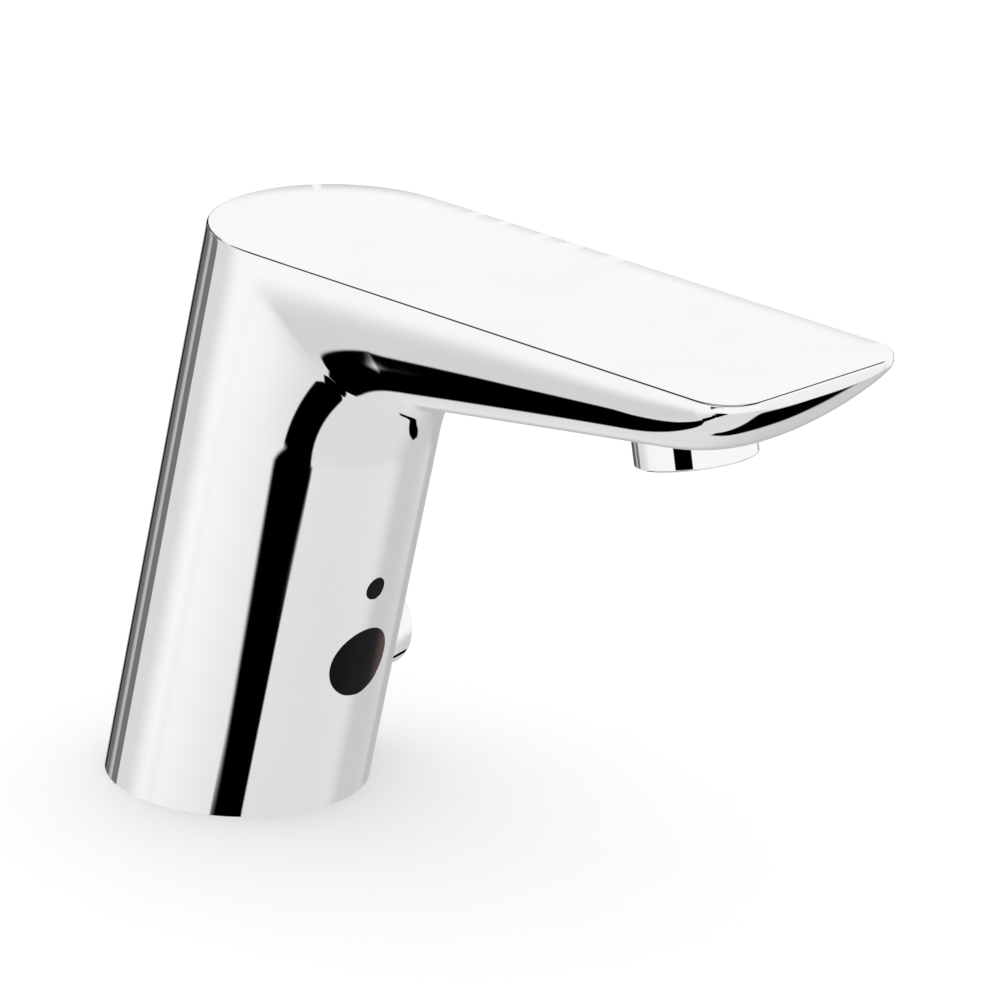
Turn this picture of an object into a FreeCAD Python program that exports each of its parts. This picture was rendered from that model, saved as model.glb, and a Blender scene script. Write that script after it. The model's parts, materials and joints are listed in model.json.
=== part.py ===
import FreeCAD, Part
import math
import os
import Sketcher
from FreeCAD import Placement, Rotation, Vector

# A touch-free basin tap: a leaning chrome column with a flat-topped spout, an
# infrared eye low on its front, a mixing knob on its right side and, inside,
# the mixing block, the solenoid valve, the battery and the outlet tube.
# +Z is up, the spout points to -Y, and the origin is the middle of the foot.
# The inner pieces are drawn upright in the column's own frame, which leans.

doc = FreeCAD.newDocument("SensorTap")

SIZES = (
    # the cast body
    ("column_radius", 26.0),
    ("lean", 12.27),
    ("top_height", 119.4),
    ("wall", 3.0),
    ("head_room", 0.7),
    ("corner_radius", 20.3),
    ("spout_depth", 43.9),
    ("underside_rise", 8.74),
    ("bow_length", 26.6),
    ("bow_angle", 60.7),
    ("reach", 148.2),
    ("tip_thickness", 2.6),
    ("front_corner", 8.5),
    ("spout_waist", 0.4),
    ("spout_taper", 0.5),
    ("flank_drop", 2.2),
    ("spout_bore_width", 22.0),
    ("spout_bore_height", 10.8),
    ("spout_bore_start", 12.0),
    ("channel_stop", 11.0),
    # fits
    ("slip", 0.3),
    ("running", 0.05),
    # the foot
    ("plate_gap", 1.5),
    ("plate_thickness", 5.0),
    ("plate_lift", 1.0),
    ("stud_radius", 4.0),
    ("stud_back", -9.0),
    ("stud_boss_radius", 6.6),
    ("stud_boss_height", 5.0),
    ("foot_screw_inset", 4.7),
    ("foot_screw_radius", 2.0),
    ("foot_screw_head", 3.5),
    ("lug_radius", 4.2),
    ("lug_top", 15.4),
    ("seal_inset", 2.0),
    ("seal_width", 1.2),
    ("seal_height", 1.2),
    # the mixing block
    ("block_bottom", 16.2),
    ("block_top", 44.0),
    ("socket_wall", 1.1),
    ("inlet_offset", 9.0),
    ("inlet_back", 12.0),
    ("neck_radius", 6.6),
    ("neck_bottom", 7.0),
    ("inlet_radius", 5.0),
    ("inlet_thread", 7.5),
    ("cross_radius", 2.4),
    ("rise_back", 3.6),
    # the mixing spindle and knob
    ("mix_height", 24.6),
    ("mix_bore", 6.5),
    ("mix_depth", 17.4),
    ("spindle_head", 9.0),
    ("spindle_stem", 3.6),
    ("nut_length", 6.4),
    ("knob_radius", 8.9),
    ("knob_sink", 1.3),
    ("knob_length", 10.4),
    ("knob_round", 1.2),
    ("stop_thickness", 1.2),
    # the check valves
    ("strainer_thickness", 1.2),
    ("cage_bore", 4.7),
    ("cage_wall", 0.9),
    ("cage_length", 11.5),
    ("poppet_radius", 3.4),
    ("poppet_thickness", 1.3),
    ("poppet_stem", 1.0),
    ("poppet_travel", 2.0),
    # the solenoid valve
    ("valve_back", 9.5),
    ("chamber_radius", 8.3),
    ("chamber_depth", 3.2),
    ("seat_radius", 3.6),
    ("outlet_drop", 7.2),
    ("outlet_bore", 2.5),
    ("diaphragm_radius", 10.0),
    ("diaphragm_thickness", 1.2),
    ("nub_height", 0.7),
    ("bonnet_radius", 10.8),
    ("bonnet_thickness", 4.8),
    ("ear_offset", 13.2),
    ("ear_radius", 3.1),
    ("core_tube_radius", 4.3),
    ("core_tube_top", 70.0),
    ("core_bore", 3.2),
    ("plunger_length", 13.1),
    ("coil_radius", 9.6),
    ("coil_top", 68.8),
    ("clip_thickness", 0.8),
    # the outlet tube
    ("tube_front", 8.5),
    ("tube_radius", 4.0),
    ("tube_bore", 3.0),
    ("tube_bend", 14.0),
    ("tube_below_top", 8.0),
    ("tube_short", 10.6),
    ("socket_depth", 5.6),
    # the battery
    ("battery_width", 35.0),
    ("battery_depth", 19.5),
    ("battery_height", 36.0),
    ("battery_back", 6.2),
    ("battery_bottom", 75.2),
    ("holder_wall", 1.2),
    # the infrared eye
    ("eye_height", 38.4),
    ("eye_radius", 7.5),
    ("lamp_height", 55.0),
    ("lamp_radius", 2.45),
    ("lens_setback", 2.7),
    ("lens_flange", 1.0),
    ("housing_half", 8.4),
    ("housing_bottom", 29.0),
    ("housing_top", 61.5),
    ("housing_wall", 1.2),
    ("board_thickness", 1.4),
    ("diode_radius", 2.2),
    ("diode_offset", 3.2),
    ("led_radius", 1.5),
    # the aerator
    ("outlet_reach", 118.6),
    ("outlet_below_top", 22.7),
    ("outlet_tilt", 12.4),
    ("ring_radius", 11.7),
    ("ring_length", 7.0),
    ("collar_radius", 10.9),
    ("collar_length", 3.6),
    ("ring_bore", 9.9),
    ("ring_lip", 8.9),
    ("lip_height", 1.2),
    ("washer_thickness", 1.4),
    ("washer_bore", 7.0),
    ("outlet_chamber", 7.4),
    ("insert_length", 7.6),
    ("insert_floor", 1.4),
    ("jet_radius", 0.75),
    ("jet_circle", 5.6),
    ("screen_thickness", 0.7),
)


class Size:
    """A length or angle that carries its value and the expression that binds it."""

    def __init__(self, value, text):
        self.value = float(value)
        self.text = text

    def __add__(self, other):
        other = as_size(other)
        return Size(self.value + other.value, "(%s + %s)" % (self.text, other.text))

    def __sub__(self, other):
        other = as_size(other)
        return Size(self.value - other.value, "(%s - %s)" % (self.text, other.text))

    def __mul__(self, other):
        other = as_size(other)
        return Size(self.value * other.value, "(%s * %s)" % (self.text, other.text))

    def __truediv__(self, other):
        other = as_size(other)
        return Size(self.value / other.value, "(%s / %s)" % (self.text, other.text))

    def __radd__(self, other):
        return as_size(other) + self

    def __rsub__(self, other):
        return as_size(other) - self

    def __rmul__(self, other):
        return as_size(other) * self

    def __neg__(self):
        return Size(-self.value, "(0 - %s)" % self.text)


def as_size(number):
    """Wrap a plain number as a size."""
    if isinstance(number, Size):
        return number
    return Size(number, "%.6f" % number)


class Named:
    """Every size of the sheet, by its name."""


sheet = doc.addObject("Spreadsheet::Sheet", "Sizes")
s = Named()
for row, (name, number) in enumerate(SIZES, start=1):
    sheet.set("A%d" % row, name)
    sheet.set("B%d" % row, str(number))
    sheet.setAlias("B%d" % row, name)
doc.recompute()
for name, number in SIZES:
    setattr(s, name, Size(sheet.get(name), "Sizes.%s" % name))

# places and sizes that follow from the ones above
cavity_radius = s.column_radius - s.wall
s.cavity_top = s.battery_bottom + s.battery_height + s.head_room
s.corner_height = s.top_height - s.spout_depth
s.bow_start = s.reach - s.bow_length
s.spout_half_root = s.column_radius - s.spout_waist
s.spout_half_tip = s.spout_half_root - s.spout_taper
s.plate_radius = cavity_radius - s.plate_gap
s.foot_screw_offset = s.plate_radius - s.foot_screw_inset
s.seal_inner = s.column_radius - s.seal_inset
s.block_front = s.tube_front + s.tube_radius + s.socket_wall
s.knob_inner = s.column_radius - s.knob_sink
s.knob_outer = s.knob_inner + s.knob_length
s.lens_inner = cavity_radius - s.lens_setback
s.housing_front = s.lens_inner - s.slip
s.outlet_height = s.top_height - s.outlet_below_top
s.tube_level = s.top_height - s.tube_below_top
s.tube_end = s.outlet_reach - s.tube_short
s.spout_bore_end = s.tube_end - s.channel_stop

COS =Size(math.cos(math.radians(s.lean.value)), "cos(Sizes.lean)")
SIN = Size(math.sin(math.radians(s.lean.value)), "sin(Sizes.lean)")
LEANING = Rotation(Vector(1, 0, 0), s.lean.value)
ALONG_X = Rotation(Vector(0, 1, 0), 90)
ALONG_FRONT = Rotation(Vector(1, 0, 0), 90)
X_AXIS = Vector(1, 0, 0)
Z_AXIS = Vector(0, 0, 1)
ZERO = Size(0, "0")
ROUND = 0.5523          # Bezier handle that makes a quarter circle

# how finely the body's outer form is drawn
COLUMN_STEPS = 10
BEND_STEPS = 16
SPOUT_STEPS = 6
BOW_STEPS = 12
BLEND = 1.8             # softness of the turn from the column's axis to the top
OVERSIZE = 60.0         # upper half of a spout section, cut off by the flat top
SPOUT_ROUND = 0.575     # the spout's underside is a little fuller than an ellipse
UPRIGHT_AFTER = 30.0    # length over which the section planes come upright
SPRING_STEPS = 8        # straight steps in a turn of a spring

pieces = []


# ---------------------------------------------------------------- helpers

def bind(thing, prop, size):
    thing.setExpression(prop, as_size(size).text)


def stand_at(thing, x, y, z, turn=None):
    """Place a thing in its own drawing, with an optional turn."""
    base = Vector(as_size(x).value, as_size(y).value, as_size(z).value)
    thing.Placement = Placement(base, turn or Rotation())
    bind(thing, "Placement.Base.x", x)
    bind(thing, "Placement.Base.y", y)
    bind(thing, "Placement.Base.z", z)
    return thing


def stand_in_column(thing, x=ZERO, y=ZERO, z=ZERO, turn=None):
    """Place a thing given in the leaning column's frame."""
    x, y, z = as_size(x), as_size(y), as_size(z)
    stand_at(thing, x, y * COS - z * SIN, y * SIN + z * COS, LEANING * (turn or Rotation()))
    return thing


def named(thing, label):
    """Give a finished piece its label and list it for writing."""
    thing.Label = label
    pieces.append(thing)
    return thing


def cylinder(name, radius, height, x=ZERO, y=ZERO, z=ZERO, turn=None):
    body = doc.addObject("Part::Cylinder", name)
    bind(body, "Radius", radius)
    bind(body, "Height", height)
    return stand_at(body, x, y, z, turn)


def box(name, length, width, height, x=ZERO, y=ZERO, z=ZERO):
    body = doc.addObject("Part::Box", name)
    bind(body, "Length", length)
    bind(body, "Width", width)
    bind(body, "Height", height)
    return stand_at(body, x, y, z)


def ring_seal(name, ring_radius, cord_radius, x=ZERO, y=ZERO, z=ZERO, turn=None):
    body = doc.addObject("Part::Torus", name)
    bind(body, "Radius1", ring_radius)
    bind(body, "Radius2", cord_radius)
    return stand_at(body, x, y, z, turn)


def fused(name, things):
    body = doc.addObject("Part::MultiFuse", name)
    body.Shapes = things
    return body


def cut(name, base, things):
    body = doc.addObject("Part::Cut", name)
    body.Base = base
    body.Tool = things[0] if len(things) == 1 else fused(name + "Tools", things)
    return body


def common(name, base, tool):
    body = doc.addObject("Part::Common", name)
    body.Base = base
    body.Tool = tool
    return body


def group(name, things):
    body = doc.addObject("Part::Compound", name)
    body.Links = things
    return body


def origin_plane(body, role):
    return [f for f in body.Origin.OriginFeatures if f.Role == role][0]


def turned(name, profile):
    """A body turned about its own Z from a closed profile of (radius, height) corners."""
    body = doc.addObject("PartDesign::Body", name)
    sketch = body.newObject("Sketcher::SketchObject", name + "Profile")
    sketch.AttachmentSupport = [(origin_plane(body, "XZ_Plane"), "")]
    sketch.MapMode = "FlatFace"
    corners = [(as_size(r), as_size(z)) for r, z in profile]
    count = len(corners)
    points = [Vector(r.value, z.value, 0) for r, z in corners]
    for i in range(count):
        sketch.addGeometry(Part.LineSegment(points[i], points[(i + 1) % count]), False)
    for i in range(count):
        sketch.addConstraint(Sketcher.Constraint("Coincident", i, 2, (i + 1) % count, 1))
    for i, (radius, height) in enumerate(corners):
        if radius.value == 0:
            sketch.addConstraint(Sketcher.Constraint("PointOnObject", i, 1, -2))
        else:
            k = sketch.addConstraint(Sketcher.Constraint("DistanceX", -1, 1, i, 1, radius.value))
            sketch.setExpression("Constraints[%d]" % k, radius.text)
        if height.value == 0:
            sketch.addConstraint(Sketcher.Constraint("PointOnObject", i, 1, -1))
        else:
            k = sketch.addConstraint(Sketcher.Constraint("DistanceY", -1, 1, i, 1, height.value))
            sketch.setExpression("Constraints[%d]" % k, height.text)
    turn = body.newObject("PartDesign::Revolution", name + "Turn")
    turn.Profile = sketch
    turn.ReferenceAxis = (sketch, ["V_Axis"])
    turn.Angle = 360
    body.Tip = turn
    return body


# ------------------------------------------------------- the body's outer form

def half_section(place, half_width, depth, fullness):
    """The poles of one smooth half of a section, from one flank to the other."""
    corners = ((-1, 0), (-1, fullness), (-fullness, 1), (fullness, 1), (1, fullness), (1, 0))
    return [place.multVec(Vector(half_width * a, depth * b, 0)) for a, b in corners]


def body_section(y, z, tilt, half_width, inner, outer, fullness):
    """A section whose plane holds X and leans back by tilt from +Y towards +Z."""
    place = Placement(Vector(0, y, z), Rotation(X_AXIS, math.degrees(tilt)))
    return (half_section(place, half_width, outer, ROUND), half_section(place, half_width, -inner, fullness))


def skin(halves, parameters):
    """A smooth surface through like halves of all the sections."""
    grid = []
    for column in zip(*halves):
        curve = Part.BSplineCurve()
        curve.interpolate(Points=list(column), Parameters=parameters)
        grid.append(curve.getPoles())
    surface = Part.BSplineSurface()
    surface.buildFromPolesMultsKnots(grid, [4, 2, 4], curve.getMultiplicities(), [0.0, 0.5, 1.0],
                                     curve.getKnots(), False, False, 3, curve.Degree)
    return surface


def skinned(sections):
    """The closed solid through the sections."""
    parameters = [0.0]
    for last, this in zip(sections, sections[1:]):
        steps = [(a - b).Length for a, b in zip(last[0] + last[1], this[0] + this[1])]
        parameters.append(parameters[-1] + sum(steps) / len(steps))
    skins = [skin([section[side] for section in sections], parameters) for side in (0, 1)]
    faces = [one.toShape() for one in skins]
    for end in (parameters[0], parameters[-1]):
        edges = [one.vIso(end).toShape() for one in skins]
        faces.append(Part.Face(Part.Wire(edges)))
    shell = Part.makeShell(faces)
    shell.sewShape()
    return Part.makeSolid(shell)


def underside(start, start_height, slope, bow, bow_slope, tip, tip_height):
    """Stations along the spout's underside: a straight rise, then the bow's parabola."""
    bow_height = start_height + (bow - start) * math.tan(slope)
    bend = (tip_height - tip * math.tan(bow_slope) - bow_height + bow * math.tan(slope))
    bend /= math.tan(slope) - math.tan(bow_slope)
    bend_height = bow_height + (bend - bow) * math.tan(slope)
    stations = []
    for k in range(1, SPOUT_STEPS + 1):
        q = k / SPOUT_STEPS
        stations.append((start + (bow - start) * q, start_height + (bow_height - start_height) * q))
    for k in range(1, BOW_STEPS + 1):
        q = k / BOW_STEPS
        along = (1 - q) ** 2 * bow + 2 * q * (1 - q) * bend + q * q * tip
        height = (1 - q) ** 2 * bow_height + 2 * q * (1 - q) * bend_height + q * q * tip_height
        stations.append((along, height))
    return stations


def outer_form():
    """The column, the bend and the spout as one loft, cut flat at the foot and the top."""
    radius, lean = s.column_radius.value, math.radians(s.lean.value)
    top, corner = s.top_height.value, s.corner_radius.value
    slope = math.radians(s.underside_rise.value)
    level = top - s.flank_drop.value
    sections = []
    # the straight column, from below the foot to where the bend starts
    below = -1.2 * radius * math.tan(lean)
    above = s.corner_height.value / math.cos(lean) + radius * math.tan(lean)
    for k in range(COLUMN_STEPS + 1):
        along = below + (above - below) * k / COLUMN_STEPS
        y, z = -along * math.sin(lean), along * math.cos(lean)
        sections.append(body_section(y, z, lean, radius, radius, radius, ROUND))
    # the bend: planes that fan about the middle of the inner corner
    pivot_y = -radius / math.cos(lean) - s.corner_height.value * math.tan(lean) - corner * math.cos(lean)
    pivot_z = s.corner_height.value - corner * math.sin(lean)
    last = math.pi / 2 - slope
    for k in range(1, BEND_STEPS + 1):
        q = k / BEND_STEPS
        tilt = lean + (last - lean) * q
        to_axis = (corner + radius) / math.cos(tilt - lean)
        to_level = (level - pivot_z) / math.sin(tilt)
        centre = -BLEND * math.log(math.exp(-to_axis / BLEND) + math.exp(-to_level / BLEND))
        half = radius + (s.spout_half_root.value - radius) * q
        outer = min(radius / math.cos(tilt - lean), OVERSIZE)
        sections.append(body_section(pivot_y + centre * math.cos(tilt), pivot_z + centre * math.sin(tilt),
                                     tilt, half, centre - corner, outer, ROUND + (SPOUT_ROUND - ROUND) * q))
    # the spout, with planes that come upright towards the tip
    start, tip = -(pivot_y + corner * math.cos(last)), s.reach.value
    start_height = pivot_z + corner * math.sin(last)
    stations = underside(start, start_height, slope, s.bow_start.value,
                         math.radians(s.bow_angle.value), tip, top - s.tip_thickness.value)
    round_off = s.front_corner.value
    for along, height in stations:
        tilt = last + (math.pi / 2 - last) * min((along - start) / UPRIGHT_AFTER, 1)
        drop = s.flank_drop.value
        if along > s.bow_start.value:
            fade = (along - s.bow_start.value) / (tip - s.bow_start.value)
            drop += (s.tip_thickness.value / 2 - drop) * fade
        depth = (top - drop - height) / math.sin(tilt)
        half = s.spout_half_root.value
        half += (s.spout_half_tip.value - half) * (along - start) / (tip - start)
        over = along - (tip - round_off)
        if over > 0:
            half += math.sqrt(max(round_off ** 2 - over ** 2, 0)) - round_off
        sections.append(body_section(-along + depth * math.cos(tilt), height + depth * math.sin(tilt),
                                     tilt, half, depth, OVERSIZE, SPOUT_ROUND))
    form = skinned(sections)
    room = Part.makeBox(4 * radius, 2 * tip, top, Vector(-2 * radius, radius * 2 - 2 * tip, 0))
    return form.common(room)


# ---------------------------------------------------------------- the body

form = doc.addObject("Part::Feature", "BodyForm")
form.Shape = outer_form()

# the leaning cavity, open at the foot
cavity =cylinder("Cavity", cavity_radius, s.cavity_top + s.column_radius)
stand_in_column(cavity, z=-s.column_radius)

# lugs inside the foot take the plate's two screws
lug_bottom = s.plate_lift + s.plate_thickness
lug_height = s.lug_top - lug_bottom
lugs = []
for side in (1, -1):
    post = cylinder("Lug", s.lug_radius, lug_height, s.foot_screw_offset * side, ZERO, lug_bottom)
    reach_out = cavity_radius + 1.5 - s.foot_screw_offset
    left = s.foot_screw_offset if side > 0 else -(s.foot_screw_offset + reach_out)
    web = box("LugWeb", reach_out, s.lug_radius * 2, lug_height, left, -s.lug_radius, lug_bottom)
    lugs += [post, web]
lug_trim = cylinder("LugTrim", cavity_radius + 0.5, s.cavity_top)
lug_posts = common("LugPosts", fused("LugParts", lugs), stand_in_column(lug_trim))
lug_bores = [cylinder("LugBore", s.foot_screw_radius, lug_height, s.foot_screw_offset * side, ZERO,
                      lug_bottom - 0.1) for side in (1, -1)]

# the groove for the foot's seal
groove_outer = cylinder("GrooveOuter", s.seal_inner + s.seal_width, s.seal_height + 1, ZERO, ZERO, -1)
groove_inner = cylinder("GrooveInner", s.seal_inner, s.seal_height + 3, ZERO, ZERO, -2)
groove = cut("SealGroove", groove_outer, [groove_inner])

# the spout's channel, the tube's shaft up to it, the tube's bore and the outlet
channel = box("SpoutChannel", s.spout_bore_width, s.spout_bore_end - s.spout_bore_start,
              s.spout_bore_height, -s.spout_bore_width / 2, -s.spout_bore_end,
              s.tube_level - s.spout_bore_height / 2)
shaft_width = s.spout_bore_width - 1
shaft_depth = s.tube_front + s.tube_radius + 2
shaft_bottom = s.cavity_top - s.tube_bend * 2
shaft_top = (s.tube_level + s.tube_front * SIN) / COS
shaft = stand_in_column(box("TubeShaft", shaft_width, shaft_depth, shaft_top - shaft_bottom),
                        -shaft_width / 2, -shaft_depth, shaft_bottom)
tube_hole = cylinder("TubeHole", s.tube_radius + s.running, s.tube_end + 0.3 - s.spout_bore_end + 1,
                     ZERO, -(s.spout_bore_end - 1), s.tube_level, ALONG_FRONT)

OUTLET_TILT = Rotation(X_AXIS, -s.outlet_tilt.value)
TILT_SIN = Size(math.sin(math.radians(s.outlet_tilt.value)), "sin(Sizes.outlet_tilt)")
TILT_COS = Size(math.cos(math.radians(s.outlet_tilt.value)), "cos(Sizes.outlet_tilt)")


def stand_on_outlet(thing, up=ZERO, x=ZERO, y=ZERO):
    """Place a thing on the outlet's tilted axis, measured from the ring's lower lip."""
    up, y = as_size(up), as_size(y)
    stand_at(thing, x, -s.outlet_reach + up * TILT_SIN + y * TILT_COS,
             s.outlet_height + up * TILT_COS - y * TILT_SIN, OUTLET_TILT)
    return thing


shoulder = s.ring_length
seat = s.ring_length + s.collar_length + s.washer_thickness
outlet_tools = [
    stand_on_outlet(cylinder("RingPocket", s.ring_radius + s.slip, s.ring_length + 8), up=-8),
    stand_on_outlet(cylinder("CollarBore", s.collar_radius + s.running, seat)),
    stand_on_outlet(cylinder("OutletChamber", s.outlet_chamber, seat + 6.4)),
]

# the side hole and flat for the mixing knob, and the two eyes in front
knob_pocket = cylinder("KnobPocket", s.knob_radius + s.slip, s.column_radius)
stand_in_column(knob_pocket, s.knob_inner - s.slip, ZERO, s.mix_height, ALONG_X)
stem_hole = cylinder("StemHole", s.spindle_stem + s.slip, s.column_radius)
stand_in_column(stem_hole, s.spindle_head, ZERO, s.mix_height, ALONG_X)
eye_hole = cylinder("EyeHole", s.eye_radius, s.column_radius)
stand_in_column(eye_hole, ZERO, -s.eye_radius, s.eye_height, ALONG_FRONT)
lamp_hole = cylinder("LampHole", s.lamp_radius, s.column_radius)
stand_in_column(lamp_hole, ZERO, -s.eye_radius, s.lamp_height, ALONG_FRONT)

hollow = cut("BodyHollow", form, [cavity])
with_lugs = fused("BodyWithLugs", [hollow, lug_posts])
named(cut("BodyCasting", with_lugs, lug_bores + [groove, channel, shaft, tube_hole, knob_pocket, stem_hole,
                                                 eye_hole, lamp_hole] + outlet_tools), "body_casting")

# ---------------------------------------------------------------- the foot

plate = cylinder("PlateDisc", s.plate_radius, s.plate_thickness, ZERO, ZERO, s.plate_lift)
boss = cylinder("StudBoss", s.stud_boss_radius, s.stud_boss_height + s.plate_thickness, ZERO, s.stud_back,
                s.plate_lift)
plate_tools = [cylinder("StudBore", s.stud_radius, s.stud_boss_height + s.plate_thickness + 2,
                        ZERO, s.stud_back, s.plate_lift - 1)]
hose_y = s.inlet_back * COS
for side in (1, -1):
    plate_tools.append(cylinder("HoseHole", s.neck_radius + 0.8, s.plate_thickness + 2,
                                s.inlet_offset * side, hose_y, s.plate_lift - 1))
    plate_tools.append(cylinder("FootScrewHole", s.foot_screw_radius + 0.2, s.plate_thickness + 2,
                                s.foot_screw_offset * side, ZERO, s.plate_lift - 1))
    plate_tools.append(cylinder("FootScrewSink", s.foot_screw_head + 0.2, s.plate_thickness / 2 + 1,
                                s.foot_screw_offset * side, ZERO, s.plate_lift - 1))
named(cut("BasePlate", fused("PlateAndBoss", [plate, boss]), plate_tools), "base_plate")

foot_screws = []
for side in (1, -1):
    shank = cylinder("FootShank", s.foot_screw_radius - s.running, s.lug_top - s.plate_lift - 2,
                     s.foot_screw_offset * side, ZERO, s.plate_lift + 1)
    head = cylinder("FootHead", s.foot_screw_head, s.plate_thickness / 2 - 0.3,
                    s.foot_screw_offset * side, ZERO, s.plate_lift + 0.3)
    socket = doc.addObject("Part::Prism", "FootSocket")
    socket.Polygon = 6
    bind(socket, "Circumradius", s.foot_screw_radius * 0.7)
    socket.Height = 1.6
    stand_at(socket, s.foot_screw_offset * side, ZERO, s.plate_lift)
    foot_screws.append(cut("FootScrew", fused("FootScrewSolid", [shank, head]), [socket]))
named(group("BaseScrews", foot_screws), "base_screws")

seal_outer = cylinder("SealOuter", s.seal_inner + s.seal_width - s.running, s.seal_height - s.running)
seal_hole = cylinder("SealHole", s.seal_inner + s.running, s.seal_height + 2, ZERO, ZERO, -1)
named(cut("BaseSeal", seal_outer, [seal_hole]), "base_seal")

# ---------------------------------------------------------------- the mixing block

block_radius = cavity_radius - s.slip
block = cylinder("BlockRound", block_radius, s.block_top - s.block_bottom, ZERO, ZERO, s.block_bottom)
front = box("BlockFront", block_radius * 3, block_radius, s.block_top, -block_radius * 1.5,
            -(block_radius + s.block_front), s.block_bottom - 1)
neck_pair = fused("NeckPair", [cylinder("InletNeck", s.neck_radius, s.block_bottom - s.neck_bottom + 1,
                                        s.inlet_offset * side, s.inlet_back, s.neck_bottom)
                               for side in (1, -1)])
necks = common("InletNecks", neck_pair, cylinder("NeckRoom", block_radius, s.block_top))
cage_bottom = s.neck_bottom + s.inlet_thread + s.strainer_thickness
inlet_top = cage_bottom + s.cage_length + s.poppet_travel + 1.3
block_tools = []
for side in (1, -1):
    block_tools.append(cylinder("InletThread", s.inlet_radius, s.inlet_thread + 1,
                                s.inlet_offset * side, s.inlet_back, s.neck_bottom - 1))
    block_tools.append(cylinder("CageBore", s.cage_bore, inlet_top - s.neck_bottom,
                                s.inlet_offset * side, s.inlet_back, s.neck_bottom))
    block_tools.append(cylinder("CrossBore", s.cross_radius, s.inlet_back, s.inlet_offset * side,
                                s.inlet_back, inlet_top - s.cross_radius - 0.6, ALONG_FRONT))
mix_bore = cylinder("MixBore", s.mix_bore, s.mix_depth + s.column_radius, -s.mix_depth, ZERO, s.mix_height,
                    ALONG_X)
rise = cylinder("MixedRise", s.cross_radius * 0.75, s.block_top - s.mix_height - 1.2, s.mix_bore, s.rise_back,
                s.mix_height)
chamber = cylinder("ValveChamber", s.chamber_radius, s.chamber_depth + 1, ZERO, s.valve_back,
                   s.block_top - s.chamber_depth)
valve_seat = cylinder("ValveSeat", s.seat_radius, s.chamber_depth - 0.4, ZERO, s.valve_back,
                      s.block_top - s.chamber_depth)
outlet_floor = s.block_top - s.outlet_drop - s.outlet_bore
seat_bore = cylinder("SeatBore", s.outlet_bore, s.outlet_drop + s.outlet_bore, ZERO, s.valve_back,
                     outlet_floor)
cross_out = cylinder("CrossOut", s.outlet_bore - 0.2, s.valve_back + s.tube_front, ZERO, s.valve_back,
                     s.block_top - s.outlet_drop, ALONG_FRONT)
tube_socket = cylinder("TubeSocket", s.tube_radius + s.running, s.socket_depth + 1, ZERO, -s.tube_front,
                       s.block_top - s.socket_depth)
socket_foot = cylinder("SocketFoot", s.outlet_bore, s.outlet_drop, ZERO, -s.tube_front, outlet_floor)
valve_screw_depth = 7.0
valve_screw_radius = 1.5
screw_holes = [cylinder("ValveScrewHole", valve_screw_radius, valve_screw_depth + 1, s.ear_offset * side,
                        s.valve_back, s.block_top - valve_screw_depth) for side in (1, -1)]
solid_block = cut("BlockSolid", fused("BlockAndNecks", [cut("BlockTrimmed", block, [front]), necks]),
                  [chamber])
block_with_seat = fused("BlockWithSeat", [solid_block, valve_seat])
mixing_block = cut("ValveBlock", block_with_seat,
                   block_tools + [mix_bore, rise, seat_bore, cross_out, tube_socket, socket_foot]
                   + screw_holes)
stand_in_column(mixing_block)
named(mixing_block, "valve_block")

# ---------------------------------------------------------------- the check valves

inlets = (("hot", 1), ("cold", -1))
cage_radius = s.cage_bore - s.running
strainers = []
cages = []
for side_name, side in inlets:
    disc = cylinder("StrainerDisc", cage_radius, s.strainer_thickness)
    slots = [box("StrainerSlot", s.cage_bore * 1.3, 0.7, s.strainer_thickness + 2,
                 -s.cage_bore * 0.65, -0.35 + 1.6 * k, -1) for k in (-1, 0, 1)]
    strainers.append(stand_in_column(cut("Strainer", disc, slots), s.inlet_offset * side, s.inlet_back,
                                     s.neck_bottom + s.inlet_thread))
    cage = turned("Cage", (
        (s.poppet_radius - 0.9, ZERO), (cage_radius, ZERO), (cage_radius, s.cage_length),
        (s.poppet_stem + s.running, s.cage_length), (s.poppet_stem + s.running, s.cage_length - s.cage_wall),
        (cage_radius - s.cage_wall, s.cage_length - s.cage_wall), (cage_radius - s.cage_wall, s.cage_wall),
        (s.poppet_radius - 0.9, s.cage_wall)))
    vents = [cylinder("CageVent", 0.9, s.cage_wall + 2, 2.6 * math.cos(a), 2.6 * math.sin(a),
                      s.cage_length - s.cage_wall - 1)
             for a in (math.radians(45), math.radians(135), math.radians(225), math.radians(315))]
    cages.append(stand_in_column(cut("VentedCage", cage, vents), s.inlet_offset * side, s.inlet_back,
                                 cage_bottom))
named(group("InletStrainers", strainers), "inlet_strainers")
named(group("CheckValveCages", cages), "check_valve_cages")

poppet_seat = s.cage_wall + s.running
stem_top = s.cage_length + 0.2
for side_name, side in inlets:
    poppet = turned("Poppet", (
        (ZERO, ZERO), (s.poppet_radius, ZERO), (s.poppet_radius, s.poppet_thickness),
        (s.poppet_stem, s.poppet_thickness + 0.5), (s.poppet_stem, stem_top - poppet_seat),
        (ZERO, stem_top - poppet_seat)))
    stand_in_column(poppet, s.inlet_offset * side, s.inlet_back, cage_bottom + poppet_seat)
    named(poppet, side_name + "_check_poppet")


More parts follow.
